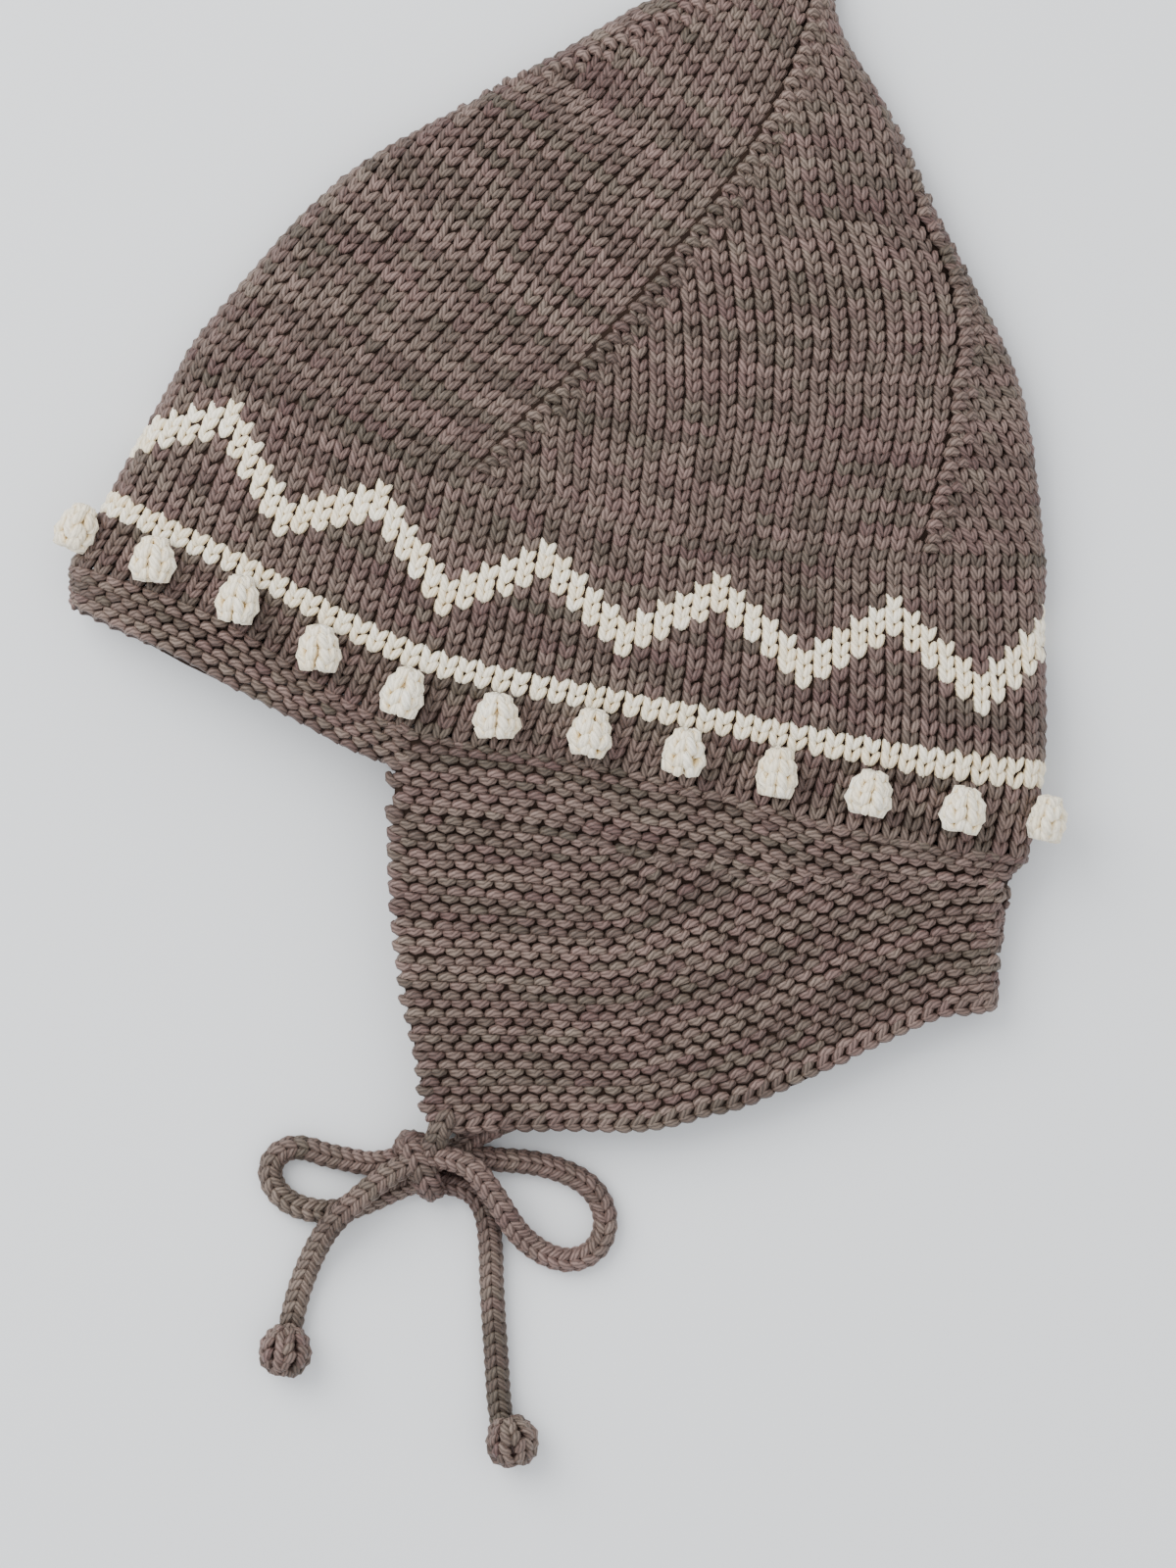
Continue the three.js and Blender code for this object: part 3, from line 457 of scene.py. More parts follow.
def yarn_material(name, dark, pale, warm, cool, tint, ply_painted_shade, ply_depth, flank_painted_shade):
    material = bpy.data.materials.new(name)
    material.use_nodes = True
    tree = material.node_tree
    shader = tree.nodes["Principled BSDF"]
    shader.inputs["Roughness"].default_value = 0.56
    shader.inputs["Sheen Weight"].default_value = 0.2
    shader.inputs["Sheen Roughness"].default_value = 0.5
    shader.inputs["Sheen Tint"].default_value = (*linear(pale), 1)
    shader.inputs["Specular IOR Level"].default_value = 0.5
    dark, pale, warm, cool, flank_painted_shade = ((*linear(colour), 1) for colour in (dark, pale, warm, cool, flank_painted_shade))
    coords = add(tree, "TexCoord")
    uv = add(tree, "UVMap", uv_map="twist")
    parts = add(tree, "SeparateXYZ", {0: uv.outputs[0]})
    phase = add(tree, "Math", {0: parts.outputs["Y"], 1: -1 / PLY_TURN, 2: parts.outputs["X"]},
                operation="MULTIPLY_ADD")
    fibre = add(tree, "TexNoise",
                {"Vector": coords.outputs["Object"], "Scale": FIBRE_SCALE, "Detail": 2.0})
    bent = add(tree, "Math", {0: fibre.outputs["Fac"], 1: FIBRE_BEND, 2: phase.outputs[0]},
               operation="MULTIPLY_ADD")
    angle = add(tree, "Math", {0: bent.outputs[0], 1: 2 * math.pi * PLY_LINES},
                operation="MULTIPLY")
    wave = add(tree, "Math", {0: angle.outputs[0]}, operation="SINE")
    groove = add(tree, "MapRange", {"Value": wave.outputs[0], "From Min": -1.0, "From Max": 0.2})
    tone = add(tree, "Attribute", attribute_name="tone")
    patches = add(tree, "TexNoise",
                  {"Vector": coords.outputs["Object"], "Scale": PATCH_SCALE, "Detail": 2.0})
    mixed = add(tree, "Math", {0: patches.outputs["Fac"], 1: tone.outputs["Fac"]}, operation="ADD")
    level = add(tree, "MapRange", {"Value": mixed.outputs[0], "From Min": 0.5, "From Max": 1.5})
    body = add(tree, "Mix", {"Factor": level.outputs[0], 6: dark, 7: pale}, data_type="RGBA")
    hue = add(tree, "Attribute", attribute_name="hue")
    hues = add(tree, "Mix", {"Factor": hue.outputs["Fac"], 6: warm, 7: cool}, data_type="RGBA")
    tinted = add(tree, "Mix", {"Factor": tint, 6: body.outputs[2], 7: hues.outputs[2]},
                 data_type="RGBA")
    # Painted shade: the colour is darkened in the ply grooves, down to the given share at their deepest.
    painted_shade = add(tree, "MapRange", {"Value": groove.outputs[0], "To Min": ply_painted_shade, "To Max": 1.0})
    shaded = add(tree, "Mix", {"Factor": 1.0, 6: tinted.outputs[2], 7: painted_shade.outputs[0]},
                 data_type="RGBA", blend_type="MULTIPLY")
    # Painted shade: the underside and lower flanks of each strand are tinted towards a darker flank colour;
    # only the top keeps the yarn's own colour.
    turned = add(tree, "Math", {0: parts.outputs["X"], 1: 2 * math.pi}, operation="MULTIPLY")
    crest = add(tree, "Math", {0: turned.outputs[0]}, operation="SINE")
    flank_shade_mask = add(tree, "MapRange",
                    {"Value": crest.outputs[0], "From Min": -0.35, "From Max": 0.85})
    flank_shade = add(tree, "Mix", {"Factor": flank_shade_mask.outputs[0], 6: flank_painted_shade, 7: (1, 1, 1, 1)},
                data_type="RGBA")
    flank_shaded = add(tree, "Mix", {"Factor": 1.0, 6: shaded.outputs[2], 7: flank_shade.outputs[2]},
                  data_type="RGBA", blend_type="MULTIPLY")
    tree.links.new(flank_shaded.outputs[2], shader.inputs["Base Color"])
    height = add(tree, "Math", {0: fibre.outputs["Fac"], 1: FIBRE_HEIGHT, 2: groove.outputs[0]},
                 operation="MULTIPLY_ADD")
    bump = add(tree, "Bump", {"Height": height.outputs[0], "Distance": ply_depth, "Strength": 0.8})
    tree.links.new(bump.outputs[0], shader.inputs["Normal"])
    return material


taupe_yarn = yarn_material(
    "merino_yarn_taupe", dark="#3F302B", pale="#8A766D", warm="#71514E", cool="#5E5646", tint=0.45,
    ply_painted_shade=0.5, ply_depth=0.00026, flank_painted_shade="#94827E",
)
cream_yarn = yarn_material(
    "merino_yarn_cream", dark="#F0E2C4", pale="#FFFAEA", warm="#F9ECD0", cool="#F8F3E0", tint=0.4,
    ply_painted_shade=0.88, ply_depth=0.00018, flank_painted_shade="#EBD9B2",
)

ROOT = "root"


def finish_piece(piece, material, slot, *nodes):
    """Gives a piece its yarn, and hides the model's solids that it stands for, if it stands for any. slot is
    not used.
    """
    piece.data.materials.clear()
    piece.data.materials.append(material)
    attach(piece, ROOT)
    if nodes:
        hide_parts(*nodes)


finish_piece(tie_left, taupe_yarn, "taupe_wool", "tie_near", "loop_left", "tail_left")
finish_piece(tie_right, taupe_yarn, "taupe_wool", "tie_far", "loop_right", "tail_right")
finish_piece(knot_wrap, taupe_yarn, "taupe_wool", "bow_knot")
finish_piece(balls["left"], taupe_yarn, "taupe_wool", "tie_bobble_left")
finish_piece(balls["right"], taupe_yarn, "taupe_wool", "tie_bobble_right")

# Crown: stocking stitch in wool, one stitch for each V, knitted upwards from the earflaps and narrowed along
# four lines. It lies folded flat, so a row runs along the near layer, round the nape fold and back along the
# far layer. The tables are the model's: places along a row of the near layer, as shares of width and height.
ORIGIN = (-111.492, -71.481)
CROWN_WIDTH = 220
CROWN_HEIGHT = 206
CROWN_THICKNESS = 24
FOLD_THICKNESS = 12
FULLNESS = 0.9
FLATTEST = 0.42
LIFT = 4.5
LIFT_REACH = 30
LIFT_ENDS = (0.09, 0.22)
RISES = [0.000, 0.086, 0.237, 0.289, 0.474, 0.658, 0.737, 0.829, 0.921, 1.000]
THICK = [0.85, 0.92, 1.00, 1.00, 0.98, 0.84, 0.75, 0.62, 0.44, 0.30]
PLACES = {
    "front": [(0.004, 0.321), (0.043, 0.395), (0.111, 0.530), (0.138, 0.577), (0.278, 0.741),
              (0.445, 0.845), (0.517, 0.889), (0.600, 0.940), (0.690, 0.970), (0.767, 1.000)],
    "temple": [(0.158, 0.261), (0.188, 0.318), (0.243, 0.450), (0.273, 0.496), (0.405, 0.644),
               (0.543, 0.767), (0.601, 0.823), (0.664, 0.888), (0.723, 0.948), (0.767, 1.000)],
    "decrease": [(0.336, 0.146), (0.365, 0.222), (0.399, 0.366), (0.413, 0.416), (0.533, 0.546),
                 (0.642, 0.689), (0.687, 0.755), (0.729, 0.836), (0.757, 0.923), (0.767, 1.000)],
    "side": [(0.573, 0.095), (0.588, 0.169), (0.608, 0.312), (0.638, 0.352), (0.713, 0.511),
             (0.768, 0.667), (0.773, 0.742), (0.771, 0.829), (0.769, 0.919), (0.767, 1.000)],
    "nape_decrease": [(0.858, 0.018), (0.868, 0.113), (0.873, 0.275), (0.863, 0.326), (0.895, 0.502),
                      (0.868, 0.659), (0.838, 0.736), (0.806, 0.827), (0.780, 0.917), (0.767, 1.000)],
    "nape": [(0.980, 0.000), (0.998, 0.097), (0.999, 0.270), (1.001, 0.323), (0.975, 0.505),
             (0.909, 0.658), (0.874, 0.737), (0.835, 0.828), (0.790, 0.918), (0.767, 1.000)],
}
ROWS = 74
FIRST_DECREASE = 22
LAST_MEASURED = 52
ROUND = 110
FRONT_STITCHES = 20
PANELS = (27, 28, 27, 28)
PLACE_STEP = 0.2
LINE_AT = 0.4
NAPE_LINE = ([0, 22, 36, 48, 52], [0.8, 0.8, 0.8, 0.88, 0.97])
TIP_RISE = 0.995
HALF_STEPS = 90
FLAT_POINTS = 60
QUARTER_POINTS = 7


def ease(low, high, value):
    """From 0 at low to 1 at high, slow at both ends."""
    t = np.clip((value - low) / (high - low), 0, 1)
    return t * t * (3 - 2 * t)


def from_table(values, rise):
    """Smooth value of a column of the table of rises."""
    span = min(max(int(np.searchsorted(RISES, rise, side="left")) - 1, 0), len(RISES) - 2)

    def slope(k):
        before, after = max(k - 1, 0), min(k + 1, len(RISES) - 1)
        return (values[after] - values[before]) / (RISES[after] - RISES[before])

    width = RISES[span + 1] - RISES[span]
    t = (rise - RISES[span]) / width
    return (
        values[span] * (1 + 2 * t) * (1 - t) ** 2 + width * slope(span) * t * (1 - t) ** 2
        + values[span + 1] * t * t * (3 - 2 * t) - width * slope(span + 1) * t * t * (1 - t)
    )


def row_curve(rise):
    """Plan of a row as a function of the place along it, from 0 at the front fold to 1 at the nape fold."""
    points = np.array([
        (
            CROWN_WIDTH * from_table([p[0] for p in places], rise),
            CROWN_HEIGHT * from_table([p[1] for p in places], rise),
        )
        for places in PLACES.values()
    ])
    ends = carried_on(points)

    def at(place):
        scaled = np.asarray(place, float) * (len(points) - 1)
        k = np.clip(np.floor(scaled).astype(int), 0, len(points) - 2)
        return catmull_rom(ends, k, (scaled - k)[..., None])

    return at


def arc(centre, out, radius, lift, angles):
    """Points round a fold, at angles from its top."""
    flat = centre + out * radius * np.sin(angles)[:, None]
    return np.column_stack([flat, lift + radius + radius * np.cos(angles)])


def crown_row(row):
    """Even points along the near and far halves of a row, and where its two decrease lines cross the near
    half."""
    rise = min(row / ROWS, TIP_RISE)
    curve = row_curve(rise)
    middle = CROWN_THICKNESS * from_table(THICK, rise)
    front_run = np.linalg.norm(curve(PLACE_STEP) - curve(0.0))
    nape_run = np.linalg.norm(curve(1.0) - curve(1 - PLACE_STEP))
    width = np.linalg.norm(curve(LINE_AT) - curve(0.0)) + np.linalg.norm(curve(1.0) - curve(LINE_AT))
    radius = min(FOLD_THICKNESS / 2, middle / 2, width * FLATTEST)
    start = min(PLACE_STEP * radius / front_run, 0.5)
    stop = max(1 - PLACE_STEP * radius / nape_run, 0.5)
    lift = LIFT * (1 - ease(*LIFT_ENDS, rise))
    places = np.linspace(start, stop, FLAT_POINTS)
    plan = curve(places)
    swell = np.clip(np.sin(np.pi * (places - start) / max(stop - start, 1e-6)), 0, 1) ** FULLNESS
    near = np.column_stack([plan, lift + 2 * radius + max(middle - 2 * radius, 0) * swell])
    far = np.column_stack([plan[::-1], np.full(FLAT_POINTS, lift)])
    front_out = unit(curve(start) - curve(start + 0.02))
    nape_out = unit(curve(stop) - curve(stop - 0.02))
    quarter = np.linspace(0, np.pi / 2, QUARTER_POINTS)
    near_line = np.vstack([
        arc(plan[0], front_out, radius, lift, quarter[::-1])[:-1], near,
        arc(plan[-1], nape_out, radius, lift, quarter)[1:],
    ])
    far_line = np.vstack([
        arc(plan[-1], nape_out, radius, lift, np.pi - quarter[::-1])[:-1], far,
        arc(plan[0], front_out, radius, lift, np.pi - quarter)[1:],
    ])
    halves = []
    for line in (near_line, far_line):
        run = run_of(line)
        halves.append(along_line(np.linspace(0, run[-1], HALF_STEPS + 1), run, line))
    near_run = run_of(near_line)
    share = near_run[QUARTER_POINTS - 1:QUARTER_POINTS - 1 + FLAT_POINTS] / near_run[-1]
    line_share = np.interp(LINE_AT, places, share)
    nape_share = np.interp(np.interp(row, *NAPE_LINE), places, share)
    return np.vstack([halves[0], halves[1][1:]]), line_share, nape_share


rows_made = [crown_row(row) for row in range(ROWS + 1)]
grid = np.array([made[0] for made in rows_made]) + [ORIGIN[0], ORIGIN[1], 0]
row_numbers = np.arange(ROWS + 1)
narrowed = np.maximum(row_numbers - FIRST_DECREASE, 0) / 2
total = ROUND - 4 * narrowed
line_share = np.array([made[1] for made in rows_made])
nape_share = np.array([made[2] for made in rows_made])
by_line = (PANELS[0] - narrowed) / np.maximum(nape_share - line_share, 1e-6)
near_count = by_line * (ROUND / 2) / by_line[FIRST_DECREASE]
near_count[:FIRST_DECREASE + 1] = ROUND / 2
near_count[LAST_MEASURED:] = total[LAST_MEASURED:] * near_count[LAST_MEASURED] / total[LAST_MEASURED]
line_place = near_count * line_share
normals = unit(np.cross(np.gradient(grid, axis=1), np.gradient(grid, axis=0)))


def crown_at(row, stitch):
    """Point and outward direction at a row, and a number of stitches from the side decrease line."""
    row = np.asarray(row, float)
    inside = np.clip(row, 0, ROWS - 0.001)
    count = np.interp(inside, row_numbers, near_count)
    whole = np.interp(inside, row_numbers, total)
    place = np.mod(np.interp(inside, row_numbers, line_place) + stitch, whole)
    share = np.where(place < count, place / count, 1 + (place - count) / (whole - count)) * HALF_STEPS
    k = np.clip(np.floor(share).astype(int), 0, 2 * HALF_STEPS - 1)
    r = np.floor(inside).astype(int)
    s, t = (share - k)[..., None], (inside - r)[..., None]

    def blend(values):
        low = values[r, k] * (1 - s) + values[r, k + 1] * s
        high = values[r + 1, k] * (1 - s) + values[r + 1, k + 1] * s
        return low * (1 - t) + high * t

    # Below the base, a stitch goes on the way that the first two rows lead.
    below = np.minimum(row, 0)[..., None] * (grid[2][k] - grid[0][k]) / 2
    return blend(grid) + below, unit(blend(normals))


def panel_place(panel, column, row):
    """Stitches from the side decrease line to a column, counted back from its panel's right border."""
    gone = np.maximum(row - FIRST_DECREASE, 0) / 2
    right = (PANELS[0] - gone, PANELS[0] + PANELS[1] - 2 * gone, -(PANELS[3] - gone), 0 * gone)[panel]
    return right - (column + 0.5)


# The V's legs: places across in stitches, up in rows, and out in millimetres, from the lower end up.
LEFT_LEG = [
    (-0.10, -0.34, -1.2), (-0.15, 0.0, -0.10), (-0.22, 0.42, 0.10), (-0.28, 0.86, -0.20), (-0.33, 1.28, -1.2)
]
RIGHT_LEG = [
    (0.03, -0.22, -1.2), (0.11, 0.04, -0.05), (0.22, 0.38, 0.15), (0.34, 0.72, -0.10), (0.43, 1.02, -1.3)
]
LEG_TAPER = np.array([0.62, 1.0, 1.06, 0.92, 0.45])
PLAIN, LINE, ZIGZAG = 0, 1, 2
LINE_ROWS = (5, 6)
ZIGZAG_FROM = 10
ZIGZAG_ROWS = 3
ZIGZAG_WIDE = 10
LEAST_ROOM = 0.3
EDGE_ROOM = 0.95

stitches = []
for panel, size in enumerate(PANELS):
    for row in range(ROWS - 1):
        gone = max(row - FIRST_DECREASE, 0) / 2
        for column in range(size):
            room = size - gone - (column + 0.5)
            if room < LEAST_ROOM or (row >= FIRST_DECREASE and room < EDGE_ROOM):
                continue
            place = panel_place(panel, column, float(row))
            near = 0 <= np.mod(line_place[row] + place, total[row]) < near_count[row]
            kind = PLAIN
            if row < FIRST_DECREASE:
                around = int(round(place - 0.5)) + FRONT_STITCHES
                peak = ZIGZAG_WIDE / 2 - abs((around % ZIGZAG_WIDE) - ZIGZAG_WIDE / 2)
                if 0 <= row - ZIGZAG_FROM - peak < ZIGZAG_ROWS:
                    kind = ZIGZAG
            if row in LINE_ROWS:
                kind = LINE
            stitches.append((panel, column, row, near, kind))
stitches = np.array(stitches)
crown_dye = dyed(ROUND * (ROWS + 1), 3)
CROWN_PAINTED_SHADE = 0.12
UNEVEN_ROW = 0.06
UNEVEN_LEAN = 0.03
UNEVEN_SIDE = 0.03
UNEVEN_YARN = 0.06


def stocking_stitches(name, chosen, sides):
    """Both legs of the chosen stitches."""
    panel, column, row = chosen[:, 0], chosen[:, 1], chosen[:, 2].astype(float)
    around = np.array([np.mod(line_place[r] + panel_place(k, c, r), total[r]) for k, c, r in chosen[:, :3]])
    tones = [values[(row * ROUND + around).astype(int)] for values in crown_dye]
    # Painted shade: the crown's stitches are darkened in colour by this much, to deepen the shade between its
    # V's; the yarn is the same as the earflaps'.
    tones[0] = tones[0] - CROWN_PAINTED_SHADE
    centres, outwards, radii = [], [], []
    for leg in (LEFT_LEG, RIGHT_LEG):
        leg = np.array(leg)
        up = row[:, None] + leg[None, :, 1] + rng.normal(0, UNEVEN_ROW, (len(chosen), 1))
        place = np.zeros_like(up)
        for k in range(len(PANELS)):
            mine = panel == k
            place[mine] = panel_place(k, column[mine][:, None], up[mine])
        lean = rng.normal(0, UNEVEN_LEAN, (len(chosen), 1)) * np.linspace(-1, 1, 5)
        place = place + leg[None, :, 0] + rng.normal(0, UNEVEN_SIDE, (len(chosen), 1)) + lean
        points, outward = crown_at(up, place)
        swell = 1 + rng.normal(0, UNEVEN_YARN, (len(chosen), 1))
        centres.append(points + outward * (leg[None, :, 2:3] - YARN))
        outwards.append(outward)
        radii.append(LEG_TAPER * YARN * swell)
    return yarn_strands(
        name, np.concatenate(centres), np.concatenate(outwards), np.concatenate(radii), sides,
        [np.tile(values, 2) for values in tones],
    )


near = stitches[:, 3] == 1
plain = stitches[:, 4] == PLAIN
low = stitches[:, 2] < FIRST_DECREASE
crown_pieces = [
    stocking_stitches("crown_lower_near", stitches[near & plain & low], NEAR_SIDES),
    stocking_stitches("crown_upper_near", stitches[near & plain & ~low], NEAR_SIDES),
    stocking_stitches("crown_lower_far", stitches[~near & plain & low], FAR_SIDES),
    stocking_stitches("crown_upper_far", stitches[~near & plain & ~low], FAR_SIDES),
]
cream_pieces = [
    stocking_stitches("crown_line", stitches[stitches[:, 4] == LINE], NEAR_SIDES),
    stocking_stitches("crown_zigzag", stitches[stitches[:, 4] == ZIGZAG], NEAR_SIDES),
]

# Decrease lines: where a stitch is taken away every other row, the drawn yarn stands up beside the line.
# ARCH is a loop from end to end: along it, up and out. LINE_LOOPS has each one's place across and up, size
# and height out, for every two rows.
ARCH = np.array([
    (-0.46, -0.25, -1.0), (-0.26, 0.02, -0.15), (0.0, 0.14, 0.1), (0.26, 0.02, -0.15), (0.46, -0.25, -1.0)
])
ARCH_TAPER = np.array([0.6, 1.0, 1.08, 1.0, 0.6])
ARCH_YARN = 1.2
LINE_LOOPS = [(0.50, 0.15, 0.90, 0.55), (0.62, 0.95, 0.80, 0.75), (1.30, 1.25, 0.62, 0.55)]
loops = []
for panel in range(len(PANELS)):
    for row in range(FIRST_DECREASE, ROWS - 3, 2):
        for across, up, size, out in LINE_LOOPS:
            loops.append((panel, row + up, across, size, out))
loops = np.array(loops)
loop_up = loops[:, 1:2] + ARCH[None, :, 1]
left_border = np.zeros_like(loop_up)
for k in range(len(PANELS)):
    mine = loops[:, 0] == k
    gone = np.maximum(loop_up[mine] - FIRST_DECREASE, 0) / 2
    left_border[mine] = panel_place(k, 0, loop_up[mine]) + 0.5 - (PANELS[k] - gone)
loop_points, loop_out = crown_at(loop_up, left_border + loops[:, 2:3] + ARCH[None, :, 0] * loops[:, 3:4])
decrease_loops = yarn_strands(
    "crown_decrease_loops", loop_points + loop_out * (ARCH[None, :, 2:3] + loops[:, 4][:, None, None] - YARN),
    loop_out, ARCH_TAPER * YARN * ARCH_YARN, NEAR_SIDES, dyed(len(loops), 5),
)

# Reverse of the fabric: the same yarn, seen as close rows of purl bumps in the shade between the layers; its
# colour is painted shade, far darker than the yarn and darkest between the bumps.
PURL_PITCH = 2.7
CROWN_INSET = 1.7
GARTER_INSET = 1.5


def cad_shape(node):
    """A bmesh of one of the model's solids."""
    shape = bmesh.new()
    shape.from_mesh(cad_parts[node].data)
    return shape


def backing(node, inset):
    """The fabric behind the stitches: the node's own wall, thinner all round."""
    wall = cad_shape(node)
    bmesh.ops.remove_doubles(wall, verts=wall.verts, dist=1e-6)
    bmesh.ops.recalc_face_normals(wall, faces=wall.faces)
    wall.normal_update()
    moved = [vert.co - vert.normal * inset * MM for vert in wall.verts]
    for vert, place in zip(wall.verts, moved):
        vert.co = place
    return object_of(node + "_backing", wall)


def backing_material():
    material = bpy.data.materials.new("merino_fabric_reverse_painted_shade")
    material.use_nodes = True
    tree = material.node_tree
    shader = tree.nodes["Principled BSDF"]
    shader.inputs["Roughness"].default_value = 0.95
    shader.inputs["Specular IOR Level"].default_value = 0.15
    coords = add(tree, "TexCoord")
    bumps = add(tree, "TexVoronoi",
                {"Vector": coords.outputs["Object"], "Scale": 1000 / PURL_PITCH}, feature="SMOOTH_F1")
    # Painted shade: a near black brown, lightest on the middle of each bump and darkest between the bumps.
    painted_shade = add(tree, "ValToRGB", {"Fac": bumps.outputs["Distance"]})
    painted_shade.color_ramp.elements[0].color = (*linear("#33261F"), 1)
    painted_shade.color_ramp.elements[1].color = (*linear("#140D0B"), 1)
    tree.links.new(painted_shade.outputs[0], shader.inputs["Base Color"])
    bump = add(tree, "Bump",
               {"Height": bumps.outputs["Distance"], "Distance": 0.0006, "Strength": 1.0})
    bump.invert = True
    tree.links.new(bump.outputs[0], shader.inputs["Normal"])
    return material


reverse_fabric = backing_material()
crown_backing = backing("crown", CROWN_INSET)
finish_piece(crown_backing, reverse_fabric, "taupe_wool")
for piece in (*crown_pieces, decrease_loops):
    finish_piece(piece, taupe_yarn, "taupe_wool", "crown")
for piece in cream_pieces:
    finish_piece(piece, cream_yarn, "cream_wool", "crown")

# Bobbles: cream, each worked back and forth on one stitch at every fifth, so it stands out as a small knitted
# ball, widest below its middle. Those under the far layer are pressed flat between it and the surface. Those
# on the two folds, numbers 1 and 12, lie a little towards the near layer.
BOBBLE_PROFILE = (
    [-1.0, -0.97, -0.90, -0.76, -0.5, -0.1, 0.2, 0.45, 0.65, 0.85, 1.0],
    [0.44, 0.59, 0.76, 0.90, 0.99, 1.0, 0.90, 0.75, 0.62, 0.52, 0.32],
)
BOBBLES = 22
NEAR_BOBBLES = 12
BOBBLE_SPACING = 5
BOBBLE_ROW = 3.0
BOBBLE_COLUMNS = 5
BOBBLE_ROWS = 4
BOBBLE_YARN = 1.25
BOBBLE_WIDE, BOBBLE_LONG, BOBBLE_HIGH = 10.1, 11.6, 8.8
PRESSED_YARN = 0.85
PRESSED_WIDE, PRESSED_LONG, PRESSED_HIGH = 9.8, 10.6, 4.2
FOLD_TURN = 0.85
ALONG_COLUMN = 0.4
HANG = 0.6
for number in range(1, BOBBLES + 1):
    node = f"bobble_{number:02d}"
    place = (number - 1) * BOBBLE_SPACING - FRONT_STITCHES
    turned = FOLD_TURN * ((number == 1) - (number == NEAR_BOBBLES))
    _, out = crown_at(BOBBLE_ROW, place + turned)
    above, _ = crown_at(BOBBLE_ROW + 3, float(place))
    under, _ = crown_at(BOBBLE_ROW - 2, float(place))
    pressed = number > NEAR_BOBBLES
    if pressed:
        out = np.array([0, 0, -1.0])
    column = unit(above - under) * ALONG_COLUMN + [0, HANG, 0]
    up = unit(column - out * np.dot(column, out))
    side = np.cross(up, out)
    swell = 1 + rng.normal(0, 0.03)
    tilt = rng.normal(0, 0.1)
    up, side = up * math.cos(tilt) + side * math.sin(tilt), side * math.cos(tilt) - up * math.sin(tilt)
    if pressed:
        size, yarn = (PRESSED_WIDE * swell, PRESSED_LONG, PRESSED_HIGH), PRESSED_YARN
    else:
        size, yarn = (BOBBLE_WIDE * swell, BOBBLE_LONG / swell, BOBBLE_HIGH), BOBBLE_YARN
    bobble = knitted_ball(
        node + "_knit", box_centre(node), side, up, out, size, BOBBLE_COLUMNS, BOBBLE_ROWS, yarn,
        BOBBLE_PROFILE, 100 + number,
    )
    finish_piece(bobble, cream_yarn, "cream_wool", node)

# Earflaps and nape: garter stitch in the same wool, ridge after ridge of purl bumps. Under the crown the
# ridges follow its base. Below that they run level from the front edge and rise beside the lower edge to the
# nape. The edges are in millimetres from ORIGIN. A bump is along in stitches, up in rows and out in
# millimetres.
GARTER_ROW = 1.94
GARTER_STITCH = 4.3
GARTER_LINES = 45
UPPER_LINES = 10
BLEND = (-3.0, 27.8)
BASE_EDGE = [
    (71.3, 31.5), (77.4, 27.9), (89.5, 26.2), (106.9, 23.8), (126.3, 19.4), (146.3, 16.1), (170.3, 7.3),
    (186.3, 4.2), (202.2, 1.8), (215.6, 0.0),
]
LOWER_EDGE = [
    (73.0, -61.2), (81.4, -61.2), (108.2, -60.5), (130.5, -60.5), (145.0, -57.0), (153.3, -54.8),
    (172.9, -45.8), (195.4, -35.6), (205.5, -34.1), (240.0, -30.0),
]
SEAM = [(139.3, -1.1), (153.3, -4.8), (175.1, -4.8), (209.4, -5.9), (240.0, -6.0)]
FRONT_EDGE = [
    (81.4, -61.2), (80.3, -55.7), (78.5, -44.0), (76.3, -35.2), (74.4, -22.2), (73.0, -6.8), (72.6, 6.2),
    (72.2, 19.1), (72.2, 40.0),
]
BUMP_OVER = np.array([
    (-0.46, -0.40, -1.15), (-0.27, -0.03, -0.18), (0.0, 0.10, 0.18), (0.27, -0.05, -0.18),
    (0.46, -0.38, -1.15),
])
BUMP_UNDER = BUMP_OVER * [1, -1, 1]
BUMP_TAPER = np.array([0.7, 1.06, 1.16, 1.06, 0.7])
FOLD_RADIUS = 6.0
FLAP_LIFT_ENDS = (-101.5, -71.5)
FOLD_HEIGHTS = (-110, -38)


def plan_line(points):
    """Even points, in the frame in millimetres, along a line that is given from ORIGIN."""
    line, _ = smooth_path([(x + ORIGIN[0], y + ORIGIN[1], 0) for x, y in points], 0.5)
    return line[:, :2]


def offset(line, distance):
    """The line that lies this far to the left of a line."""
    direction = unit(np.gradient(line, axis=0))
    return line + np.stack([-direction[:, 1], direction[:, 0]], axis=1) * distance


flap_shape = cad_shape("ear_flap")
flap_tree = BVHTree.FromBMesh(flap_shape)
flap_shape.free()


def flap_fold(y):
    """How far right the nape fold reaches at this height, in the frame in millimetres."""
    for height in (FOLD_RADIUS, FOLD_RADIUS + 2, FOLD_RADIUS + 4):
        hit = flap_tree.ray_cast(Vector((0.2, y * MM, height * MM)), Vector((-1, 0, 0)))
        if hit[0] is not None:
            return hit[0].x / MM
    return None


fold_found = [(y, flap_fold(y)) for y in np.arange(*FOLD_HEIGHTS, 2.0)]
fold_y, fold_x = np.array([(y, x) for y, x in fold_found if x is not None]).T


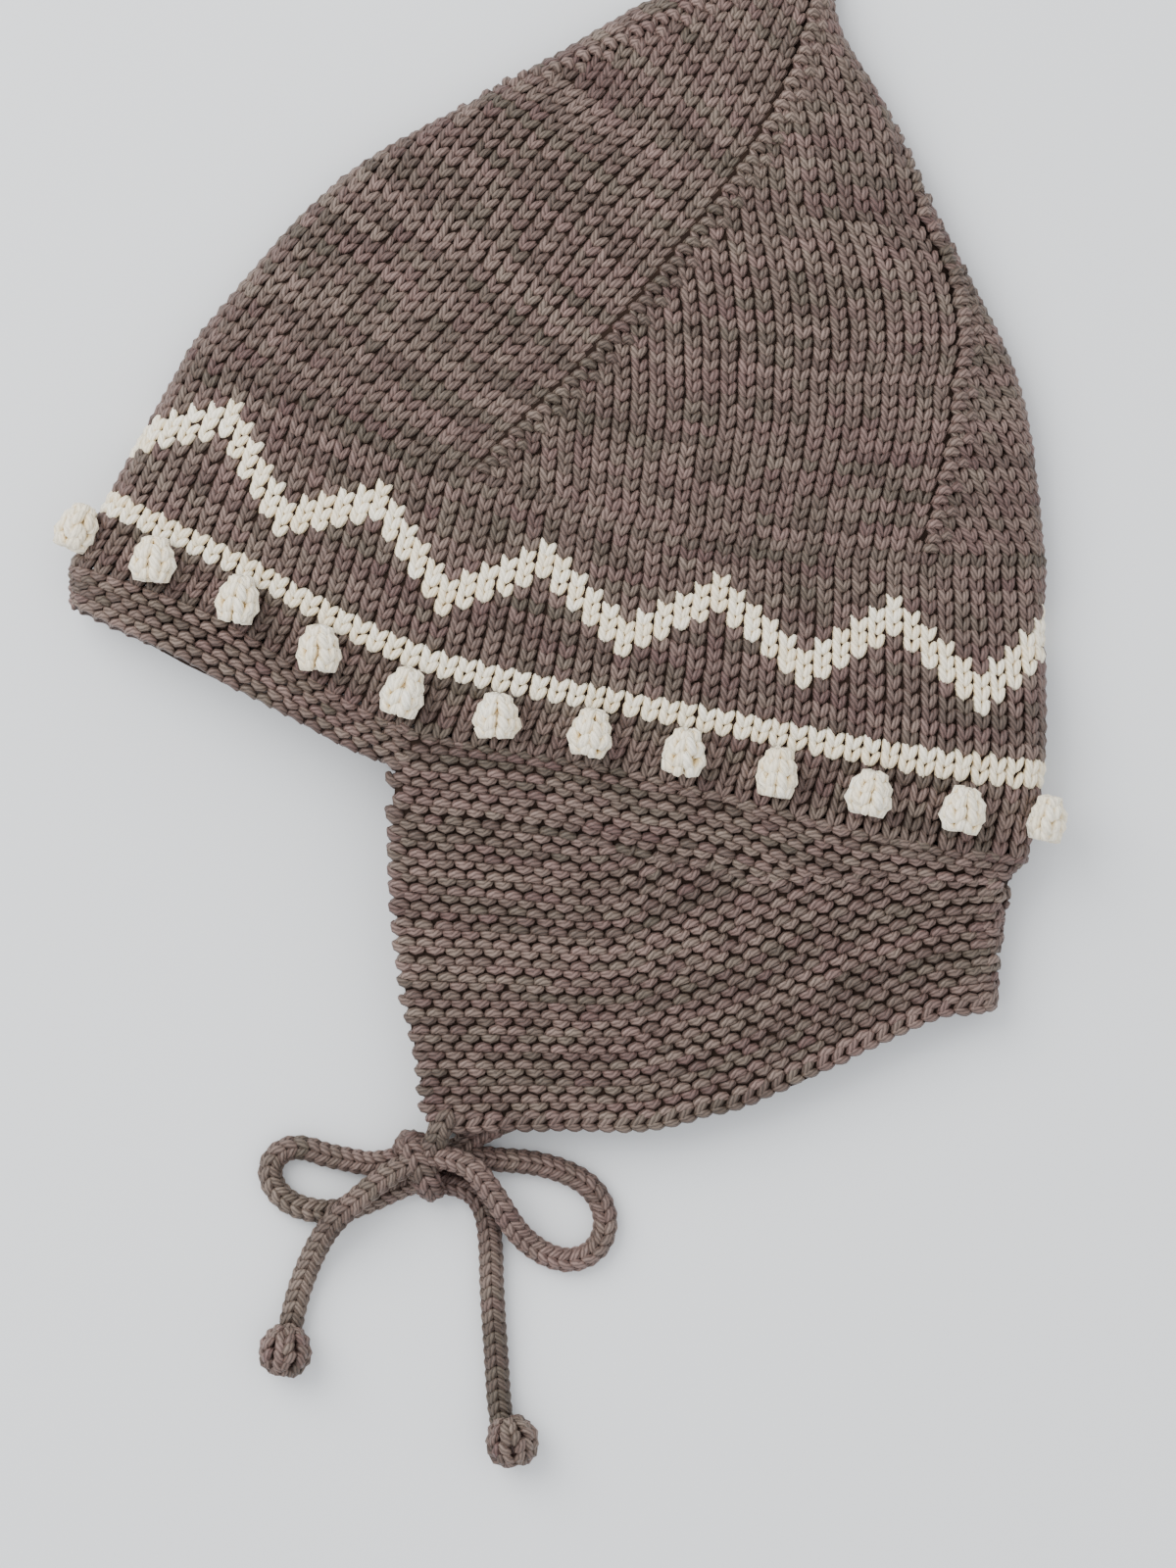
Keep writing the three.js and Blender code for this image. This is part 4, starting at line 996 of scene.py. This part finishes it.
def flap_at(x, y, near):
    """Point and direction on the outer face of an earflap, at a plan place laid out flat past the fold."""
    fold = np.interp(y, fold_y, fold_x)
    level = 1.0 if near else -1.0
    past = x - (fold - FOLD_RADIUS)
    if past > FOLD_RADIUS * math.pi / 2:
        return None
    if past <= 0 or y < fold_y[0]:
        start, way = Vector((x * MM, y * MM, level * 0.1)), Vector((0, 0, -level))
    else:
        middle = FOLD_RADIUS + LIFT * ease(*FLAP_LIFT_ENDS, y)
        angle = past / FOLD_RADIUS
        way = Vector((-math.sin(angle), 0, -level * math.cos(angle)))
        start = Vector(((fold - FOLD_RADIUS) * MM, y * MM, middle * MM)) - way * 0.1
    spot, normal, _, _ = flap_tree.ray_cast(start, way)
    if spot is None:
        return None
    if normal.dot(way) > 0:
        normal = -normal
    if past > 0:
        normal = Vector((-way.x, normal.y * 0.5, -way.z))
    return np.array(spot) / MM, unit(np.array(normal))


# The front edge: heights, and how far right it lies at each.
front_line = np.array([(y + ORIGIN[1], x + ORIGIN[0]) for x, y in FRONT_EDGE])
FIRST_OVER = 0.52
FIRST_UNDER = 0.26
SECOND_UNDER = 0.48
EDGE_INSET = 0.4
BUMP_STEP = 0.10
BUMP_UNEVEN = 0.1
BUMP_PAINTED_LIGHT = 0.04
BUMP_YARN = 1.04


def garter_bumps(name, lines, near, sides):
    """Rows of purl bumps along plan lines, every other row half a stitch along and the other way up. A bump
    that falls outside the flap's front edge is carried out from the edge."""
    points, outs, tones = [], [], []
    for number, line in lines:
        over = number % 2
        shape = BUMP_OVER if over else BUMP_UNDER
        sign = 2 * over - 1
        run = run_of(line)
        direction = unit(np.gradient(line, axis=0))
        at = np.arange(FIRST_OVER, run[-1] / GARTER_STITCH, 1.0)
        if not over:
            at = np.concatenate([[FIRST_UNDER], at + SECOND_UNDER])
        at = at * GARTER_STITCH
        at = at + rng.normal(0, 0.14, len(at))
        tone, hue = dyed(len(at) + 1, 1000 + number)
        for stitch, place in enumerate(at):
            middle = along_line(place, run, line)
            along = along_line(place, run, direction)
            across = np.array([-along[1], along[0]])
            edge = np.interp(middle[1], front_line[:, 0], front_line[:, 1]) + EDGE_INSET
            found = flap_at(max(middle[0], edge), middle[1], near)
            if found is None:
                continue
            spot, out = found
            spot = spot + [min(middle[0] - edge, 0), 0, 0]
            ahead = np.array([along[0], along[1], 0])
            ahead = unit(ahead - out * np.dot(ahead, out))
            raised = np.cross(out, ahead)
            if np.dot(raised[:2], across) < 0:
                raised = -raised
            scale = 1.0 + rng.normal(0, 0.05)
            points.append(
                spot + ahead * shape[:, 0:1] * GARTER_STITCH * scale
                + raised * (shape[:, 1:2] * GARTER_ROW - BUMP_STEP * sign + rng.normal(0, BUMP_UNEVEN))
                + out * (shape[:, 2:3] - YARN + BUMP_STEP * sign + rng.normal(0, BUMP_UNEVEN))
            )
            outs.append(np.tile(out, (len(shape), 1)))
            # Painted light and shade: the bumps that stand over are made paler, and the bumps under darker,
            # by this much.
            tones.append([tone[stitch] + BUMP_PAINTED_LIGHT * sign, hue[stitch]])
    return yarn_strands(
        name, np.array(points), np.array(outs), BUMP_TAPER * YARN * BUMP_YARN, sides, np.array(tones).T
    )


base_line = plan_line(BASE_EDGE)
lower_line = plan_line(LOWER_EDGE)
seam_line = plan_line(SEAM)
across_flap = np.arange(lower_line[0, 0] - 4, lower_line[-1, 0], 0.5)
base_y = np.interp(across_flap, base_line[:, 0], base_line[:, 1])
lower_y = np.interp(across_flap, lower_line[:, 0], lower_line[:, 1])
blend = ease(*BLEND, across_flap)
SMOOTH_REACH = 18


def between(share):
    """A line between the lower edge and the base, level on the left, by its number from the lower edge."""
    return lower_y + (base_y - lower_y) * share / GARTER_LINES


def upper_at(number):
    """Heights of a ridge, by its number down from the base."""
    return (1 - blend) * between(GARTER_LINES - number - 0.5) + blend * (base_y - (number + 0.5) * GARTER_ROW)


def lower_at(number):
    """Heights of a ridge, by its number up from the lower edge."""
    line = offset(lower_line, (number + 0.5) * GARTER_ROW)
    line = line[np.concatenate([[True], np.diff(np.maximum.accumulate(line[:, 0])) > 0])]
    height = np.interp(across_flap, line[:, 0], line[:, 1])
    window = np.hanning(2 * SMOOTH_REACH + 1)
    padded = np.pad(height, SMOOTH_REACH, mode="reflect", reflect_type="odd")
    return (1 - blend) * between(number + 0.5) + blend * np.convolve(padded, window / window.sum(), "valid")


seam_y = np.where(
    across_flap < seam_line[0, 0], upper_at(UPPER_LINES - 0.5),
    np.interp(across_flap, seam_line[:, 0], seam_line[:, 1]),
)
CORNER_FILL = 2.6
CORNER_FROM = (-62.0, -52.0)
PAST_SEAM = (0.5, 0.4)
FEWEST_POINTS = 12
garter_lines = []
for number in range(1, GARTER_LINES):
    if number >= GARTER_LINES - UPPER_LINES:
        height = upper_at(GARTER_LINES - 1 - number)
        inside = height > seam_y - PAST_SEAM[1]
    else:
        height = lower_at(number)
        inside = height < seam_y + PAST_SEAM[0]
    corner = CORNER_FILL * ease(*CORNER_FROM, height)
    inside &= across_flap > np.interp(height, front_line[:, 0], front_line[:, 1]) - corner
    if inside.sum() > FEWEST_POINTS:
        garter_lines.append((number, np.column_stack([across_flap, height])[inside]))

# The flap's lower edge: bound off, which leaves a chain of leaning loops along it. Each loop has two legs,
# with places along in stitches, and inwards and outwards in millimetres.
CHAIN_STITCH = 3.7
CHAIN_UPPER = np.array([
    (-0.44, 0.5, -0.7), (-0.24, 1.0, 0.0), (0.02, 1.7, 0.25), (0.28, 2.4, 0.1), (0.52, 3.1, -1.1)
])
CHAIN_LOWER = np.array([
    (-0.50, 0.7, -0.8), (-0.26, 0.35, -0.1), (0.0, 0.0, 0.0), (0.26, -0.2, -0.2), (0.50, -0.2, -1.0)
])
CHAIN_HELD = 2.2
CHAIN_YARN = 0.98
CHAIN_START = 0.6


def bound_off_chain(name, line, near, sides):
    """The chain along an edge of the flap. It lies as the flap's face does at CHAIN_HELD inside the edge."""
    run = run_of(line)
    direction = unit(np.gradient(line, axis=0))
    at = np.arange(0.5, run[-1] / CHAIN_STITCH - 0.3, 1.0) * CHAIN_STITCH
    dye = dyed(len(at), 42)
    points, outs, tones = [], [], []
    for stitch, place in enumerate(at):
        along = unit(along_line(place, run, direction))
        inward = np.array([-along[1], along[0]])
        held = along_line(place, run, line) + inward * CHAIN_HELD
        found = flap_at(held[0], held[1], near)
        if found is None:
            continue
        spot, out = found
        ahead = unit(np.array([*along, 0]) - out * np.dot([*along, 0], out))
        inwards = unit(np.array([*inward, 0]) - out * np.dot([*inward, 0], out))
        for leg in (CHAIN_UPPER, CHAIN_LOWER):
            points.append(
                spot + ahead * leg[:, 0:1] * CHAIN_STITCH
                + inwards * (leg[:, 1:2] - CHAIN_HELD + rng.normal(0, 0.08)) + out * (leg[:, 2:3] - YARN)
            )
            outs.append(np.tile(out, (len(leg), 1)))
            tones.append([values[stitch] for values in dye])
    return yarn_strands(
        name, np.array(points), np.array(outs), BUMP_TAPER * YARN * CHAIN_YARN, sides, np.array(tones).T
    )


below = across_flap > front_line[0, 1] + CHAIN_START
lower_way = np.column_stack([across_flap, lower_y])[below]
for name, is_near, sides in (("ear_flap_near", True, NEAR_SIDES), ("ear_flap_far", False, FAR_SIDES)):
    bumps = garter_bumps(name, garter_lines, is_near, sides)
    chain = bound_off_chain(name + "_chain", lower_way, is_near, sides)
    finish_piece(join(name, [bumps, chain]), taupe_yarn, "taupe_wool", "ear_flap")
flap_backing = backing("ear_flap", GARTER_INSET)
finish_piece(flap_backing, reverse_fabric, "taupe_wool")

# Forehead band: six rows of garter bumps round the front fold, from one earflap to the other. A last row of
# bumps goes on from it along the base of the crown, where the crown's stitches were picked up from the flaps.
BAND_HEIGHT = 11.0
BAND_DOWN = (
    [0.0, 0.1, 0.2, 0.3, 0.36, 0.4],
    [0.04, -0.24, -0.30, -0.26, -0.14, 0.04],
    [-0.78, -1.0, -1.15, -0.86, -0.86, -0.86],
)
BAND_BUMP_ROWS = 6
BAND_STITCH = 4.1
BAND_END = 0.45
FIRST_BUMP = 0.4
NEARBY = 0.4
JOIN_STITCHES = ROUND - 2 * FRONT_STITCHES
JOIN_DROP = 0.9
JOIN_SUNK = 0.1


def base_frame(place):
    """Point, way ahead, way up and way out on the crown's base, at stitches from the side decrease line."""
    spot, out = crown_at(0.0, place)
    ahead = unit(crown_at(0.0, place + NEARBY)[0] - crown_at(0.0, place - NEARBY)[0])
    return spot, ahead, unit(np.cross(out, ahead)), out


band_points, band_outs = [], []
for number in range(BAND_BUMP_ROWS):
    level = (number + 0.5) / BAND_BUMP_ROWS
    shape = BUMP_OVER if number % 2 else BUMP_UNDER
    for stitch in np.arange(-2 * FRONT_STITCHES + FIRST_BUMP, 0.5, 1.0):
        place = stitch + 0.5 * (number % 2) + rng.normal(0, 0.03)
        if place > BAND_END:
            continue
        spot, ahead, raised, out = base_frame(place)
        from_fold = abs(place + FRONT_STITCHES - FIRST_BUMP) / FRONT_STITCHES * LINE_AT
        down = np.array([np.interp(from_fold, BAND_DOWN[0], BAND_DOWN[k]) for k in (1, 2)] + [0])
        middle = spot + down * BAND_HEIGHT * level
        middle[2] -= LIFT * ease(0, LIFT_REACH, BAND_HEIGHT * level)
        band_points.append(
            middle + ahead * shape[:, 0:1] * BAND_STITCH
            + raised * shape[:, 1:2] * BAND_HEIGHT / BAND_BUMP_ROWS + out * (shape[:, 2:3] - YARN)
        )
        band_outs.append(np.tile(out, (len(shape), 1)))
for stitch in np.arange(0.0, JOIN_STITCHES, 1.0):
    spot, ahead, raised, out = base_frame(stitch)
    band_points.append(
        spot + ahead * BUMP_OVER[:, 0:1] * BAND_STITCH + raised * (BUMP_OVER[:, 1:2] * GARTER_ROW - JOIN_DROP)
        + out * (BUMP_OVER[:, 2:3] - YARN - JOIN_SUNK)
    )
    band_outs.append(np.tile(out, (len(BUMP_OVER), 1)))
band = yarn_strands(
    "front_band_bumps", np.array(band_points), np.array(band_outs), BUMP_TAPER * YARN, NEAR_SIDES,
    dyed(len(band_points), 9),
)
band_backing = backing("front_band", GARTER_INSET)
finish_piece(band, taupe_yarn, "taupe_wool", "front_band")
finish_piece(band_backing, reverse_fabric, "taupe_wool")

# Floor: a plain pale sheet of paper.
FLOOR_SIZE = 8.0
bpy.ops.mesh.primitive_plane_add(size=FLOOR_SIZE, location=(0, 0, 0))
floor = bpy.context.object
floor.name = "floor"
paper = bpy.data.materials.new("matt_pale_paper")
paper.use_nodes = True
paper.node_tree.nodes["Principled BSDF"].inputs["Base Color"].default_value = (*linear("#E4E7EA"), 1)
paper.node_tree.nodes["Principled BSDF"].inputs["Roughness"].default_value = 0.9
floor.data.materials.append(paper)
floor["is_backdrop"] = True

# Light: a large soft window from the upper left, in a bright and even room.
world = bpy.data.worlds.new("room")
world.use_nodes = True
world.node_tree.nodes["Background"].inputs["Color"].default_value = (0.98, 0.985, 1.0, 1)
world.node_tree.nodes["Background"].inputs["Strength"].default_value = 1.4
bpy.context.scene.world = world
window = bpy.data.lights.new("window", "AREA")
window.shape = "DISK"
window.size = 1.2
window.energy = 18
window.color = (1.0, 0.985, 0.96)
window_object = bpy.data.objects.new("window", window)
window_object.location = (-0.75, 0.55, 0.95)
aim = Vector((0, -0.03, 0)) - window_object.location
window_object.rotation_euler = aim.to_track_quat("-Z", "Y").to_euler()
bpy.context.scene.collection.objects.link(window_object)

low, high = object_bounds()
